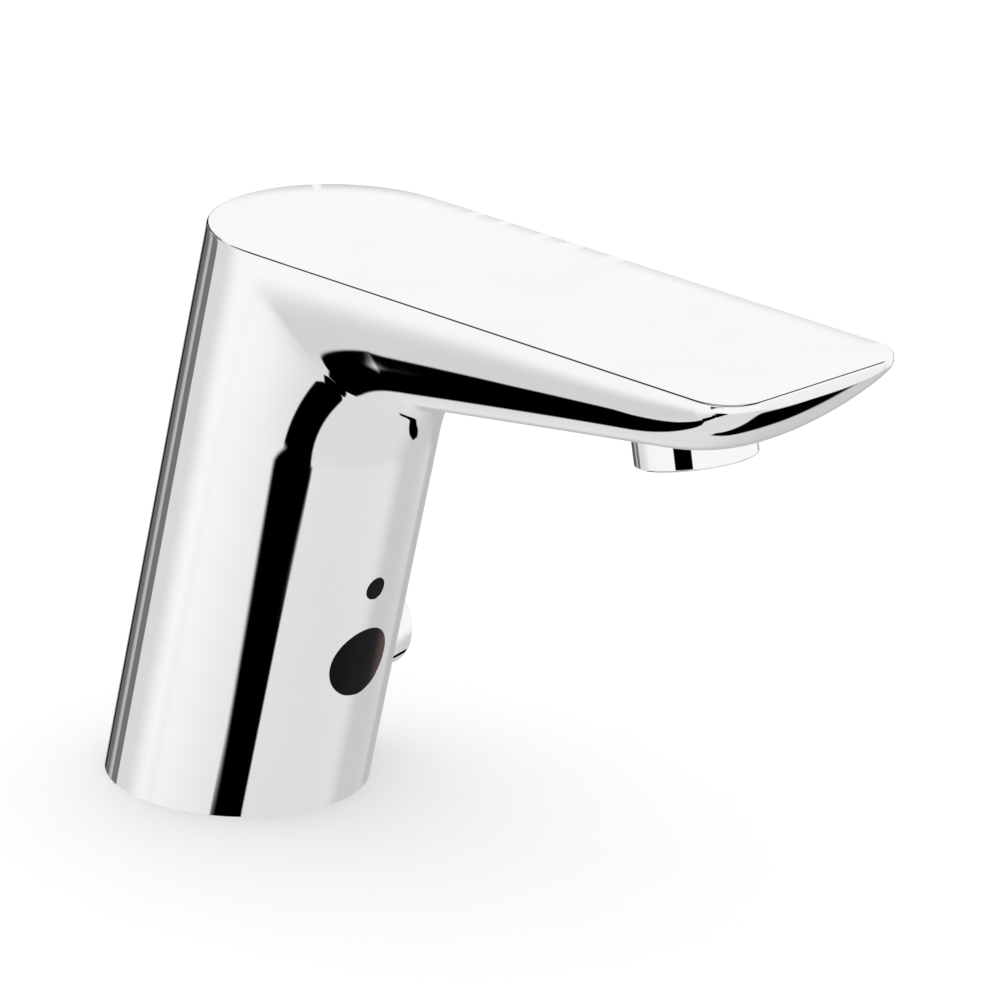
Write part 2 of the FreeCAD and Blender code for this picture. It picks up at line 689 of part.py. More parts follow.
def coil_spring(name, coil_radius, wire_radius, length, turns):
    """A helical spring standing on Z from 0 to its length, in straight six-sided steps."""
    rise = (length - 2 * wire_radius) / turns
    slope = math.degrees(math.atan2(rise, 2 * math.pi * coil_radius))
    sections = []
    for k in range(turns * SPRING_STEPS + 1):
        angle = 360.0 * k / SPRING_STEPS
        centre = Vector(coil_radius, 0, 0)
        ring = []
        for side in range(6):
            round_wire = math.radians(60 * side)
            ring.append(Vector(wire_radius * math.cos(round_wire), 0, wire_radius * math.sin(round_wire)))
        tilt = Placement(centre, Rotation(X_AXIS, slope))
        lift = Placement(Vector(0, 0, wire_radius + rise * k / SPRING_STEPS), Rotation(Z_AXIS, angle))
        corners = [lift.multVec(tilt.multVec(corner)) for corner in ring]
        sections.append(Part.makePolygon(corners + corners[:1]))
    spring = doc.addObject("Part::Feature", name)
    spring.Shape = Part.makeLoft(sections, True, True)
    return spring


check_spring_length = (s.cage_length - s.cage_wall * 2 - s.running * 2 - s.poppet_thickness - 0.7).value
for side_name, side in inlets:
    spring = coil_spring("CheckSpring", s.poppet_stem.value + 0.75, 0.25, check_spring_length, 5)
    stand_in_column(spring, s.inlet_offset * side, s.inlet_back,
                    cage_bottom + poppet_seat + s.poppet_thickness + 0.6)
    named(spring, side_name + "_check_spring")

# ---------------------------------------------------------------- the mixing spindle and knob

spindle_radius = s.mix_bore - s.running
stem_radius = s.spindle_stem
spindle_length = s.knob_outer - 2 + s.mix_depth
head_length = s.mix_depth + s.spindle_head
spindle_body = turned("Spindle", (
    (ZERO, ZERO), (spindle_radius, ZERO), (spindle_radius, head_length), (stem_radius, head_length),
    (stem_radius, spindle_length), (ZERO, spindle_length)))
spindle_core = cylinder("SpindleCore", s.mix_bore - 2.2, head_length, ZERO, ZERO, -1.5)
port_z = s.mix_depth - s.inlet_offset
ports = [cylinder("SpindlePort", s.cross_radius * 0.9, s.mix_bore * 2, ZERO, ZERO, port_z, ALONG_FRONT),
         cylinder("SpindlePort", s.cross_radius * 0.9, s.mix_bore * 2, ZERO, ZERO,
                  port_z + s.inlet_offset * 2 - 2.0, ALONG_FRONT)]
spindle = cut("MixingSpindle", spindle_body, [spindle_core] + ports)
stand_in_column(spindle, -s.mix_depth, ZERO, s.mix_height, ALONG_X)
named(spindle, "mixing_spindle")

nut_bore = stem_radius + s.running
nut_inner = s.spindle_head + s.running + s.stop_thickness + 0.1
stop_ring = turned("StopRing", (
    (nut_bore, ZERO), (s.mix_bore - s.running, ZERO), (s.mix_bore - s.running, s.stop_thickness),
    (nut_bore, s.stop_thickness)))
stand_in_column(stop_ring, s.spindle_head + s.running, ZERO, s.mix_height, ALONG_X)
named(stop_ring, "temperature_stop")

nut = turned("SpindleNut", (
    (nut_bore, ZERO), (s.mix_bore - s.running, ZERO), (s.mix_bore - s.running, s.nut_length),
    (nut_bore, s.nut_length)))
stand_in_column(nut, nut_inner, ZERO, s.mix_height, ALONG_X)
named(nut, "spindle_nut")

knob_floor = s.knob_length - 2 + s.running
knob_body = turned("KnobTurned", (
    (stem_radius + s.running, ZERO), (s.knob_radius, ZERO), (s.knob_radius, s.knob_length),
    (ZERO, s.knob_length), (ZERO, knob_floor), (stem_radius + s.running, knob_floor)))
doc.recompute()
knob_edge = doc.addObject("Part::Fillet", "KnobRounded")
knob_edge.Base = knob_body
outer_edges = [i + 1 for i, e in enumerate(knob_body.Shape.Edges)
               if abs(e.BoundBox.ZMin - s.knob_length.value) < 0.001 and e.BoundBox.XLength > 2]
knob_edge.Edges = [(i, s.knob_round.value, s.knob_round.value) for i in outer_edges]
grub_radius = 1.5
grub_hole = cylinder("GrubHole", grub_radius, s.knob_radius * 2, ZERO, ZERO, s.knob_length / 2,
                     Rotation(X_AXIS, -90))
index_dot = cylinder("IndexDot", 0.9, 2, -(s.knob_radius * 0.62), ZERO, s.knob_length - 0.4)
knob = cut("MixingKnob", knob_edge, [grub_hole, index_dot])
stand_in_column(knob, s.knob_inner, ZERO, s.mix_height, ALONG_X)
named(knob, "mixing_knob")

grub = cylinder("KnobScrew", grub_radius - s.running, s.knob_radius - s.spindle_stem - 1.4)
grub_socket = doc.addObject("Part::Prism", "GrubSocket")
grub_socket.Polygon = 6
grub_socket.Circumradius = 0.8
bind(grub_socket, "Height", 1.5)
stand_at(grub_socket, ZERO, ZERO, s.knob_radius - s.spindle_stem - 1.4 - 1.2)
knob_screw = cut("KnobGrub", grub, [grub_socket])
stand_in_column(knob_screw, s.knob_inner + s.knob_length / 2, s.spindle_stem + 0.1, s.mix_height,
                Rotation(X_AXIS, -90))
named(knob_screw, "knob_screw")

# ---------------------------------------------------------------- the solenoid valve

diaphragm_z = s.block_top + s.running
diaphragm = turned("Diaphragm", (
    (0.6, ZERO), (s.diaphragm_radius, ZERO), (s.diaphragm_radius, s.diaphragm_thickness),
    (s.seat_radius + 1.2, s.diaphragm_thickness), (s.seat_radius + 0.4, s.diaphragm_thickness + s.nub_height),
    (0.6, s.diaphragm_thickness + s.nub_height)))
stand_in_column(diaphragm, ZERO, s.valve_back, diaphragm_z)
named(diaphragm, "diaphragm")

bonnet_z = diaphragm_z + s.diaphragm_thickness + s.running
flange = cylinder("BonnetFlange", s.bonnet_radius, s.bonnet_thickness)
ears = [cylinder("BonnetEar", s.ear_radius, s.bonnet_thickness, s.ear_offset * side, ZERO, ZERO)
        for side in (1, -1)]
core_top = s.core_tube_top - bonnet_z
core_tube = cylinder("CoreTube", s.core_tube_radius, core_top)
pilot_room = cylinder("PilotRoom", s.seat_radius + 2.0, 2.4, ZERO, ZERO, -1)
core_bore = cylinder("CoreBore", s.core_bore, core_top - 1.4)
ear_holes = [cylinder("EarHole", valve_screw_radius + 0.15, s.bonnet_thickness + 2, s.ear_offset * side,
                      ZERO, -1) for side in (1, -1)]
bonnet = cut("SolenoidBonnet", fused("BonnetSolid", [flange, core_tube] + ears),
             [pilot_room, core_bore] + ear_holes)
stand_in_column(bonnet, ZERO, s.valve_back, bonnet_z)
named(bonnet, "solenoid_bonnet")

valve_screws = []
for side in (1, -1):
    shank = cylinder("ValveShank", valve_screw_radius - s.running, valve_screw_depth + s.bonnet_thickness)
    head = cylinder("ValveHead", valve_screw_radius + 1.2, 1.6, ZERO, ZERO,
                    s.bonnet_thickness + valve_screw_depth)
    cross = [box("CrossSlot", 0.7, 2.8, 2, -0.35, -1.4, s.bonnet_thickness + valve_screw_depth + 0.8),
             box("CrossSlot", 2.8, 0.7, 2, -1.4, -0.35, s.bonnet_thickness + valve_screw_depth + 0.8)]
    screw = cut("ValveScrew", fused("ValveScrewSolid", [shank, head]), cross)
    valve_screws.append(stand_in_column(screw, s.ear_offset * side, s.valve_back,
                                        bonnet_z - valve_screw_depth + s.running))
named(group("SolenoidScrews", valve_screws), "solenoid_screws")

plunger_z = diaphragm_z + s.diaphragm_thickness + s.nub_height + s.running
plunger = turned("Plunger", (
    (ZERO, ZERO), (1.2, ZERO), (s.core_bore - s.running, 1.0), (s.core_bore - s.running, s.plunger_length),
    (1.6, s.plunger_length), (1.6, s.plunger_length - 3), (ZERO, s.plunger_length - 3)))
stand_in_column(plunger, ZERO, s.valve_back, plunger_z)
named(plunger, "plunger")

plunger_spring_z = plunger_z + s.plunger_length + s.running
plunger_spring_length = (s.core_tube_top - 1.4 - plunger_spring_z - s.running).value
plunger_spring = coil_spring("PlungerSpring", s.core_bore.value - 0.9, 0.3, plunger_spring_length, 4)
stand_in_column(plunger_spring, ZERO, s.valve_back, plunger_spring_z)
named(plunger_spring, "plunger_spring")

coil_z = bonnet_z + s.bonnet_thickness + 0.1
coil_height = s.coil_top - coil_z
coil = turned("SolenoidCoil", (
    (s.core_tube_radius + 0.1, ZERO), (s.coil_radius, ZERO), (s.coil_radius, 1.2),
    (s.coil_radius - 1, 1.6), (s.coil_radius - 1, coil_height - 1.6), (s.coil_radius, coil_height - 1.2),
    (s.coil_radius, coil_height), (s.core_tube_radius + 0.1, coil_height)))
stand_in_column(coil, ZERO, s.valve_back, coil_z)
named(coil, "solenoid_coil")

clip = turned("CoilClip", (
    (s.core_tube_radius + s.running, ZERO), (s.core_tube_radius + 2.4, ZERO),
    (s.core_tube_radius + 2.4, s.clip_thickness), (s.core_tube_radius + s.running, s.clip_thickness)))
clip_gap = box("ClipGap", 5, s.core_tube_radius * 2, 3, -2.5, ZERO, -1)
coil_clip = cut("CoilClipOpen", clip, [clip_gap])
stand_in_column(coil_clip, ZERO, s.valve_back, s.coil_top + 0.1)
named(coil_clip, "coil_clip")

# ---------------------------------------------------------------- the outlet tube

def column_point(y, z):
    """A point of the column's middle plane, in the row's frame."""
    return Vector(0, y * COS.value - z * SIN.value, y * SIN.value + z * COS.value)


def tube_solid(radius, over):
    """A rod up the column beside the valve, round the bend and along the spout."""
    start = column_point(-s.tube_front.value, s.block_top.value - s.socket_depth.value + 0.2)
    up = column_point(0, 1)
    along = Vector(0, -1, 0)
    corner = start + up * ((s.tube_level.value - start.z) / up.z)
    end = Vector(0, -s.tube_end.value, s.tube_level.value)
    turn = up.getAngle(along)
    back_off = s.tube_bend.value * math.tan(turn / 2)
    first, last = corner - up * back_off, corner + along * back_off
    middle = last - Vector(0, 0, s.tube_bend.value)
    riser = Part.makeCylinder(radius, (first - start).Length + over, start - up * over, up)
    run = Part.makeCylinder(radius, (end - last).Length + over, last, along)
    bend = Part.makeTorus(s.tube_bend.value, radius, Vector(), Z_AXIS, -180, 180, math.degrees(turn))
    # the arc starts at the top of the bend and turns down towards the column
    bend.Placement = Placement(middle, Rotation(Vector(0, 0, 1), Vector(0, 1, 0), Vector(-1, 0, 0), "XYZ"))
    return riser.fuse([bend, run])


tube = doc.addObject("Part::Feature", "OutletTube")
tube.Shape = tube_solid(s.tube_radius.value, 0).cut(tube_solid(s.tube_bore.value, 1)).removeSplitter()
named(tube, "outlet_tube")

# ---------------------------------------------------------------- the battery

def stadium(name, width, depth, height, x, y, z):
    """An upright block with half-round ends, as two cells side by side."""
    straight = width - depth
    bar = box(name + "Bar", straight, depth, height, x - straight / 2, y - depth / 2, z)
    ends = [cylinder(name + "End", depth / 2, height, x + straight * side / 2, y, z) for side in (1, -1)]
    return fused(name, [bar] + ends)


battery_block = stadium("BatteryBlock", s.battery_width, s.battery_depth, s.battery_height, ZERO,
                        s.battery_back, s.battery_bottom)
contacts = [cylinder("BatteryContact", 3.0, 1.0, (s.battery_width - s.battery_depth) / 2 * side,
                     s.battery_back, s.battery_bottom) for side in (1, -1)]
battery = cut("Battery", battery_block, contacts)
stand_in_column(battery)
named(battery, "battery")

holder_low = s.battery_bottom - s.holder_wall * 2
holder_outer = stadium("HolderOuter", s.battery_width + s.holder_wall, s.battery_depth + s.holder_wall,
                       s.holder_wall * 7, ZERO, s.battery_back, holder_low)
holder_room = stadium("HolderRoom", s.battery_width + 0.4, s.battery_depth + 0.4, s.holder_wall * 7,
                      ZERO, s.battery_back, s.battery_bottom - 0.1)
core_room = cylinder("HolderCoreRoom", s.core_tube_radius + 0.6, s.holder_wall * 4, ZERO, s.valve_back,
                     holder_low - 1)
battery_holder = cut("BatteryHolder", holder_outer, [holder_room, core_room])
stand_in_column(battery_holder)
named(battery_holder, "battery_holder")

# ---------------------------------------------------------------- the infrared eye

def lens(name, radius, height, flange):
    """A lens plug whose face follows the column and whose flange sits behind the wall."""
    plug = cylinder(name + "Plug", radius - s.running, s.column_radius, ZERO, -s.lens_inner, height,
                    ALONG_FRONT)
    rim = cylinder(name + "Rim", flange, 0.8, ZERO, -s.lens_inner, height, ALONG_FRONT)
    return stand_in_column(common(name, fused(name + "Solid", [plug, rim]),
                                  cylinder(name + "Skin", s.column_radius, s.top_height)))


named(lens("SensorWindow", s.eye_radius, s.eye_height, s.eye_radius + s.lens_flange), "sensor_window")
named(lens("IndicatorWindow", s.lamp_radius, s.lamp_height, s.lamp_radius + s.lens_flange),
      "indicator_window")

housing_depth = s.housing_front - s.block_front - s.slip
housing_height = s.housing_top - s.housing_bottom
housing_block = box("HousingBlock", s.housing_half * 2, housing_depth, housing_height, -s.housing_half,
                    -s.housing_front, s.housing_bottom)
housing_room = box("HousingRoom", (s.housing_half - s.housing_wall) * 2, housing_depth,
                   housing_height - s.housing_wall * 2, -(s.housing_half - s.housing_wall),
                   -s.housing_front - s.housing_wall, s.housing_bottom + s.housing_wall)
sensor_housing = cut("SensorHousing", housing_block, [housing_room])
stand_in_column(sensor_housing)
named(sensor_housing, "sensor_housing")

board_front = s.block_front + s.slip + s.housing_wall + s.slip + s.board_thickness
board_half = s.housing_half - s.housing_wall - s.slip
board = box("SensorBoard", board_half * 2, s.board_thickness,
            housing_height - s.housing_wall * 2 - s.slip * 2)
stand_in_column(board, -board_half, -board_front, s.housing_bottom + s.housing_wall + s.slip)
named(board, "sensor_board")


def diode(label, radius, x, z):
    """A round diode on the board: a rim, a barrel and a domed nose."""
    barrel = s.lens_inner - board_front - s.slip * 2 - radius * 0.5
    shape = turned("Diode", (
        (ZERO, ZERO), (radius + 0.25, ZERO), (radius + 0.25, 0.5), (radius, 0.5), (radius, barrel),
        (radius * 0.8, barrel + radius * 0.35), (radius * 0.4, barrel + radius * 0.5),
        (ZERO, barrel + radius * 0.5)))
    stand_in_column(shape, x, -(board_front + s.running), z, ALONG_FRONT)
    return named(shape, label)


diode("emitter_diode", s.diode_radius, -s.diode_offset, s.eye_height)
diode("receiver_diode", s.diode_radius, s.diode_offset, s.eye_height)
diode("status_led", s.led_radius, ZERO, s.lamp_height)

# ---------------------------------------------------------------- the aerator

ring = turned("AeratorRing", (
    (s.ring_lip, ZERO), (s.ring_radius - 0.4, ZERO), (s.ring_radius, 0.4), (s.ring_radius, shoulder),
    (s.collar_radius, shoulder), (s.collar_radius, shoulder + s.collar_length),
    (s.ring_bore, shoulder + s.collar_length), (s.ring_bore, s.lip_height), (s.ring_lip, s.lip_height)))
stand_on_outlet(ring)
named(ring, "aerator_ring")

insert_body = turned("InsertBody", (
    (ZERO, ZERO), (s.ring_lip - 0.3, ZERO), (s.ring_lip - 0.3, s.lip_height),
    (s.ring_bore - s.running, s.lip_height), (s.ring_bore - s.running, s.insert_length),
    (s.ring_bore - 1.3, s.insert_length), (s.ring_bore - 1.3, s.insert_floor), (ZERO, s.insert_floor)))
jets = []
for circle, count in ((0.0, 1), (0.5, 6), (1.0, 12)):
    for k in range(count):
        angle = 2 * math.pi * k / count
        jet = doc.addObject("Part::Prism", "Jet")
        jet.Polygon = 6
        bind(jet, "Circumradius", s.jet_radius)
        bind(jet, "Height", s.insert_floor + 2)
        jets.append(stand_at(jet, s.jet_circle * (circle * math.cos(angle)),
                             s.jet_circle * (circle * math.sin(angle)), -1))
insert = cut("AeratorInsert", insert_body, jets)
stand_on_outlet(insert, up=0.1)
named(insert, "aerator_insert")

screen = turned("AeratorScreen", (
    (ZERO, ZERO), (s.ring_bore - s.running, ZERO), (s.ring_bore - s.running, s.screen_thickness),
    (ZERO, s.screen_thickness + 1.2)))
stand_on_outlet(screen, up=s.insert_length + 0.15)
named(screen, "aerator_screen")

washer = turned("AeratorWasher", (
    (s.washer_bore, ZERO), (s.collar_radius, ZERO), (s.collar_radius, s.washer_thickness - s.running),
    (s.washer_bore, s.washer_thickness - s.running)))
stand_on_outlet(washer, up=shoulder + s.collar_length + s.running / 2)
named(washer, "aerator_washer")

# ---------------------------------------------------------------- check and write

doc.recompute()
for thing in doc.Objects:
    if "Invalid" in thing.State or "Error" in thing.State:
        raise RuntimeError("%s failed: %s" % (thing.Label, thing.State))
for piece in pieces:
    if piece.Shape.isNull() or not piece.Shape.isValid() or not piece.Shape.Solids:
        raise RuntimeError("%s has no valid solid" % piece.Label)
os.makedirs("parts", exist_ok=True)
for piece in pieces:
    piece.Shape.exportStep("parts/%s.step" % piece.Label)
    print("%-20s %2d %10.1f" % (piece.Label, len(piece.Shape.Solids), piece.Shape.Volume))
print(len(pieces), "pieces")
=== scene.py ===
import json
import math

import bmesh
import bpy
from bpy.props import FloatProperty, FloatVectorProperty, PointerProperty
from mathutils import Matrix, Vector


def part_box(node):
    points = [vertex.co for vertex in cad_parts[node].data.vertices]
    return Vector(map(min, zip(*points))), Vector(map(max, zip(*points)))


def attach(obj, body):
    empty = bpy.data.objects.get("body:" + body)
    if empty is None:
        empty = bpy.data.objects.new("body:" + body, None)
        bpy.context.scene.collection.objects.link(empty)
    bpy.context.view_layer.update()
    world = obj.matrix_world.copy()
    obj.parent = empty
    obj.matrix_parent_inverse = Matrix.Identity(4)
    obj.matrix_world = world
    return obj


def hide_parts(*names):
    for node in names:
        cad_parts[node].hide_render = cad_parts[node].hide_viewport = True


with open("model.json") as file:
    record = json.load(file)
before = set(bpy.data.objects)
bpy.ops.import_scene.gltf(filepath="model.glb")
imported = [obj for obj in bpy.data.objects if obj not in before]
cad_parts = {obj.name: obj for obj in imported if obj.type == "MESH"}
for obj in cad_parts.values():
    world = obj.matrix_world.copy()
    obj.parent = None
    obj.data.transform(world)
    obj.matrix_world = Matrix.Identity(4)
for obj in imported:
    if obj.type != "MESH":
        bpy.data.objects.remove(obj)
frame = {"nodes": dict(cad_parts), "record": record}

bl_info = {
    "name": "Touch-free basin tap",
    "version": (1, 0, 0),
    "blender": (4, 5, 0),
    "location": "View3D > Sidebar > Tap",
    "description": "Models the chrome body, windows, knob and outlet of a sensor tap round its packed frame",
    "category": "Object",
}

BODY_LOW, BODY_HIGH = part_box("body_casting")
KNOB_LOW, KNOB_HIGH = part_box("mixing_knob")
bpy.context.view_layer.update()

# how finely the body's form is drawn
AROUND = 128
COLUMN_ROWS = 44
BEND_ROWS = 44
SPOUT_ROWS = 26
BOW_ROWS = 30
ROUND = 0.5523              # Bezier handle of a quarter circle
SPOUT_ROUND = 0.575         # the underside of the spout is a little fuller
MERGE = 1e-6                # points this close are one
BESIDE_CUT = 0.0005         # points this close to a cut go onto it
LEVEL_FACE = 0.999          # least upright part of a level face's normal
BODY_EDGE = math.radians(50)        # sharper edges stay sharp in the shading
TURNED_EDGE = math.radians(30)

# bores and small features, in metres
CAVITY_TOP = 0.1119         # along the column
STEM_HOLE_RADIUS = 0.0039
STEM_HOLE_INNER = 0.009     # from the column's axis
STEM_BORE_RADIUS = 0.00365  # in the knob
KNOB_FACE = 0.00195         # thickness of the knob's outer face
GRUB_HOLE_RADIUS = 0.0015
TUBE_HOLE_RADIUS = 0.0040
TUBE_HOLE_NEAR = 0.030      # forward of the foot's middle
TUBE_HOLE_FAR = 0.1083
TUBE_HOLE_HEIGHT = 0.1114
PAST_FACE = 0.001           # how far a tool reaches past the face that it opens

# the outlet's radii, and its heights above the ring's lip, in metres
RING_POCKET_LOW = -0.008
COLLAR_BORE_RADIUS = 0.01095
COLLAR_BORE_TOP = 0.0120
CHAMBER_RADIUS = 0.0074
CHAMBER_TOP = 0.0184
RING_TOP = 0.007
RING_COLLAR = 0.0109
RING_COLLAR_TOP = 0.0106
RING_BORE = 0.0099
RING_LIP = 0.0089
RING_LIP_TOP = 0.0012
RING_EDGE = 0.0005

# turns about X and Y that lay a rod forward, back or sideways
FORWARD = (math.radians(90), 0)
BACKWARD = (math.radians(-90), 0)
SIDEWAYS = (0, math.radians(90))


# ------------------------------------------------------------------ sizes and finishes

class TapSizes(bpy.types.PropertyGroup):
    """Sizes of the tap's visible pieces."""

    column_radius: FloatProperty(
        name="Column radius", description="Radius of the leaning column",
        default=BODY_HIGH.x, unit="LENGTH", precision=4)
    lean: FloatProperty(
        name="Lean", description="How far the column leans forward",
        default=math.radians(12.27), subtype="ANGLE")
    top_height: FloatProperty(
        name="Height", description="Height of the flat top",
        default=BODY_HIGH.z, unit="LENGTH", precision=4)
    reach: FloatProperty(
        name="Reach", description="Distance from the foot's middle to the spout's tip",
        default=-BODY_LOW.y, unit="LENGTH", precision=4)
    corner_radius: FloatProperty(
        name="Corner radius", description="Radius of the inner corner below the spout",
        default=0.0203, unit="LENGTH", precision=4)
    corner_height: FloatProperty(
        name="Corner height", description="Height where the inner corner begins",
        default=0.0755, unit="LENGTH", precision=4)
    underside_rise: FloatProperty(
        name="Underside rise", description="Slope of the spout's underside",
        default=math.radians(8.74), subtype="ANGLE")
    bow_start: FloatProperty(
        name="Bow start", description="Where the underside starts to sweep up to the tip",
        default=0.1216, unit="LENGTH", precision=4)
    bow_angle: FloatProperty(
        name="Bow angle", description="Slope of the underside at the tip",
        default=math.radians(60.7), subtype="ANGLE")
    tip_thickness: FloatProperty(
        name="Tip thickness", description="Thickness of the spout's front edge",
        default=0.0026, unit="LENGTH", precision=4)
    front_corner: FloatProperty(
        name="Front corner", description="Radius of the spout's two front corners",
        default=0.0085, unit="LENGTH", precision=4)
    half_root: FloatProperty(
        name="Half width at the root", description="Half the spout's width at the column",
        default=0.0256, unit="LENGTH", precision=4)
    half_tip: FloatProperty(
        name="Half width at the tip", description="Half the spout's width at its tip",
        default=0.0251, unit="LENGTH", precision=4)
    flank_drop: FloatProperty(
        name="Flank drop", description="How far below the top the spout is widest",
        default=0.0022, unit="LENGTH", precision=4)
    rim_round: FloatProperty(
        name="Rim rounding", description="Rounding of the flat top's edge",
        default=0.0008, unit="LENGTH", precision=4)
    crown: FloatProperty(
        name="Top roll-off", description="How far the flat top's edge rolls off",
        default=math.radians(5), subtype="ANGLE")
    crown_width: FloatProperty(
        name="Roll-off width", description="Width over which the flat top's edge rolls off",
        default=0.0065, unit="LENGTH", precision=4)
    eye_height: FloatProperty(
        name="Eye height", description="Height of the large window along the column",
        default=0.0384, unit="LENGTH", precision=4)
    eye_radius: FloatProperty(
        name="Eye radius", description="Radius of the large window",
        default=0.0075, unit="LENGTH", precision=4)
    lamp_height: FloatProperty(
        name="Lamp height", description="Height of the small window along the column",
        default=0.0550, unit="LENGTH", precision=4)
    lamp_radius: FloatProperty(
        name="Lamp radius", description="Radius of the small window",
        default=0.00245, unit="LENGTH", precision=4)
    lens_inner: FloatProperty(
        name="Lens back", description="Distance from the column's axis to the back of the windows",
        default=0.0203, unit="LENGTH", precision=4)
    window_gap: FloatProperty(
        name="Window gap", description="Gap round each window",
        default=0.00008, unit="LENGTH", precision=5)
    mix_height: FloatProperty(
        name="Knob height", description="Height of the mixing knob along the column",
        default=0.0246, unit="LENGTH", precision=4)
    knob_radius: FloatProperty(
        name="Knob radius", description="Radius of the mixing knob",
        default=0.0089, unit="LENGTH", precision=4)
    knob_round: FloatProperty(
        name="Knob rounding", description="Rounding of the knob's outer edge",
        default=0.0012, unit="LENGTH", precision=4)
    pocket_gap: FloatProperty(
        name="Pocket gap", description="Gap round the knob and the outlet ring in the body",
        default=0.0003, unit="LENGTH", precision=4)
    wall: FloatProperty(
        name="Wall", description="Wall of the column",
        default=0.003, unit="LENGTH", precision=4)
    outlet_reach: FloatProperty(
        name="Outlet reach", description="Distance from the foot's middle to the outlet",
        default=0.1186, unit="LENGTH", precision=4)
    outlet_height: FloatProperty(
        name="Outlet height", description="Height of the outlet ring's lip",
        default=0.0967, unit="LENGTH", precision=4)
    outlet_tilt: FloatProperty(
        name="Outlet tilt", description="How far the outlet points back to the column",
        default=math.radians(12.4), subtype="ANGLE")
    ring_radius: FloatProperty(
        name="Ring radius", description="Radius of the outlet ring",
        default=0.0117, unit="LENGTH", precision=4)


class TapFinish(bpy.types.PropertyGroup):
    """Colours of the tap's finishes."""

    chrome: FloatVectorProperty(
        name="Chrome", description="Tint of the chrome plate",
        default=(0.93, 0.935, 0.945), size=3, subtype="COLOR", min=0, max=1)
    window: FloatVectorProperty(
        name="Window", description="Colour deep inside the windows",
        default=(0.002, 0.0015, 0.0015), size=3, subtype="COLOR", min=0, max=1)
    # painted light: the red-brown that the windows' base colour takes on one side, standing in for light
    # shining through the filter
    window_painted_light: FloatVectorProperty(
        name="Window glow", description="Red-brown of the windows where light gets in",
        default=(0.055, 0.032, 0.026), size=3, subtype="COLOR", min=0, max=1)
    floor: FloatVectorProperty(
        name="Floor", description="Colour of the floor",
        default=(0.97, 0.97, 0.97), size=3, subtype="COLOR", min=0, max=1)


# ------------------------------------------------------------------ material nodes

def new_material(name):
    """Makes a material and returns its shader and its node tree."""
    material = bpy.data.materials.new(name)
    material.use_nodes = True
    return material.node_tree.nodes["Principled BSDF"], material.node_tree


def grain(tree, scale, detail=3.0, stretch=(1, 1, 1)):
    """Noise in the object's own coordinates, its scale in spots per metre."""
    place = tree.nodes.new("ShaderNodeTexCoord")
    mapping = tree.nodes.new("ShaderNodeMapping")
    mapping.inputs["Scale"].default_value = stretch
    noise = tree.nodes.new("ShaderNodeTexNoise")
    noise.inputs["Scale"].default_value = scale
    noise.inputs["Detail"].default_value = detail
    tree.links.new(place.outputs["Object"], mapping.inputs["Vector"])
    tree.links.new(mapping.outputs["Vector"], noise.inputs["Vector"])
    return noise.outputs["Fac"]


def spread(tree, value, low, high, into):
    """Maps the noise's usual range of 0.3 to 0.7 to another range and links it."""
    ramp = tree.nodes.new("ShaderNodeMapRange")
    ramp.inputs["From Min"].default_value = 0.3
    ramp.inputs["From Max"].default_value = 0.7
    ramp.inputs["To Min"].default_value = low
    ramp.inputs["To Max"].default_value = high
    tree.links.new(value, ramp.inputs["Value"])
    tree.links.new(ramp.outputs["Result"], into)


def two_tone(tree, value, dark, light, into):
    """Mixes two colours by a value, from 0.35 to 0.65 of it, and links the result."""
    ramp = tree.nodes.new("ShaderNodeValToRGB")
    ramp.color_ramp.elements[0].position = 0.35
    ramp.color_ramp.elements[1].position = 0.65
    ramp.color_ramp.elements[0].color = (*dark, 1)
    ramp.color_ramp.elements[1].color = (*light, 1)
    tree.links.new(value, ramp.inputs["Fac"])
    tree.links.new(ramp.outputs["Color"], into)


def relief(tree, shader, value, depth):
    """Bump of a small real depth, in metres."""
    bump = tree.nodes.new("ShaderNodeBump")
    bump.inputs["Distance"].default_value = depth
    bump.inputs["Strength"].default_value = 0.5
    tree.links.new(value, bump.inputs["Height"])
    tree.links.new(bump.outputs["Normal"], shader.inputs["Normal"])


def shade(colour, factor):
    """A colour made lighter or darker by a factor."""
    return tuple(min(1.0, channel * factor) for channel in colour)


def chrome_plate(colour):
    """Mirror-bright plate: hardly any haze, with a faint cloudiness at hand scale."""
    shader, tree = new_material("chrome_plate")
    shader.inputs["Metallic"].default_value = 1.0
    cloud = grain(tree, 60.0, 2.0)
    two_tone(tree, cloud, shade(colour, 0.985), colour, shader.inputs["Base Color"])
    spread(tree, cloud, 0.015, 0.035, shader.inputs["Roughness"])


def machined_metal(name, colour, rough):
    """Turned or milled metal: fine tool lines and a slightly uneven tone."""
    shader, tree = new_material(name)
    shader.inputs["Metallic"].default_value = 1.0
    shader.inputs["Anisotropic"].default_value = 0.4
    lines = grain(tree, 900.0, 2.0, (0.15, 0.15, 3.0))
    two_tone(tree, grain(tree, 120.0), shade(colour, 0.86), colour, shader.inputs["Base Color"])
    spread(tree, lines, rough * 0.75, rough * 1.3, shader.inputs["Roughness"])
    relief(tree, shader, lines, 0.00002)


def rubber_skin(colour):
    """Soft black rubber with a fine moulded grain."""
    shader, tree = new_material("black_rubber")
    two_tone(tree, grain(tree, 200.0), shade(colour, 0.7), shade(colour, 1.3), shader.inputs["Base Color"])
    spread(tree, grain(tree, 700.0), 0.55, 0.8, shader.inputs["Roughness"])
    relief(tree, shader, grain(tree, 2200.0, 4.0), 0.00003)


def moulded_plastic(name, colour, rough):
    """Moulded plastic with a faint spark-eroded texture."""
    shader, tree = new_material(name)
    two_tone(tree, grain(tree, 150.0), shade(colour, 0.93), shade(colour, 1.03), shader.inputs["Base Color"])
    texture = grain(tree, 1500.0, 4.0)
    spread(tree, texture, rough * 0.85, rough * 1.15, shader.inputs["Roughness"])
    relief(tree, shader, texture, 0.00001)


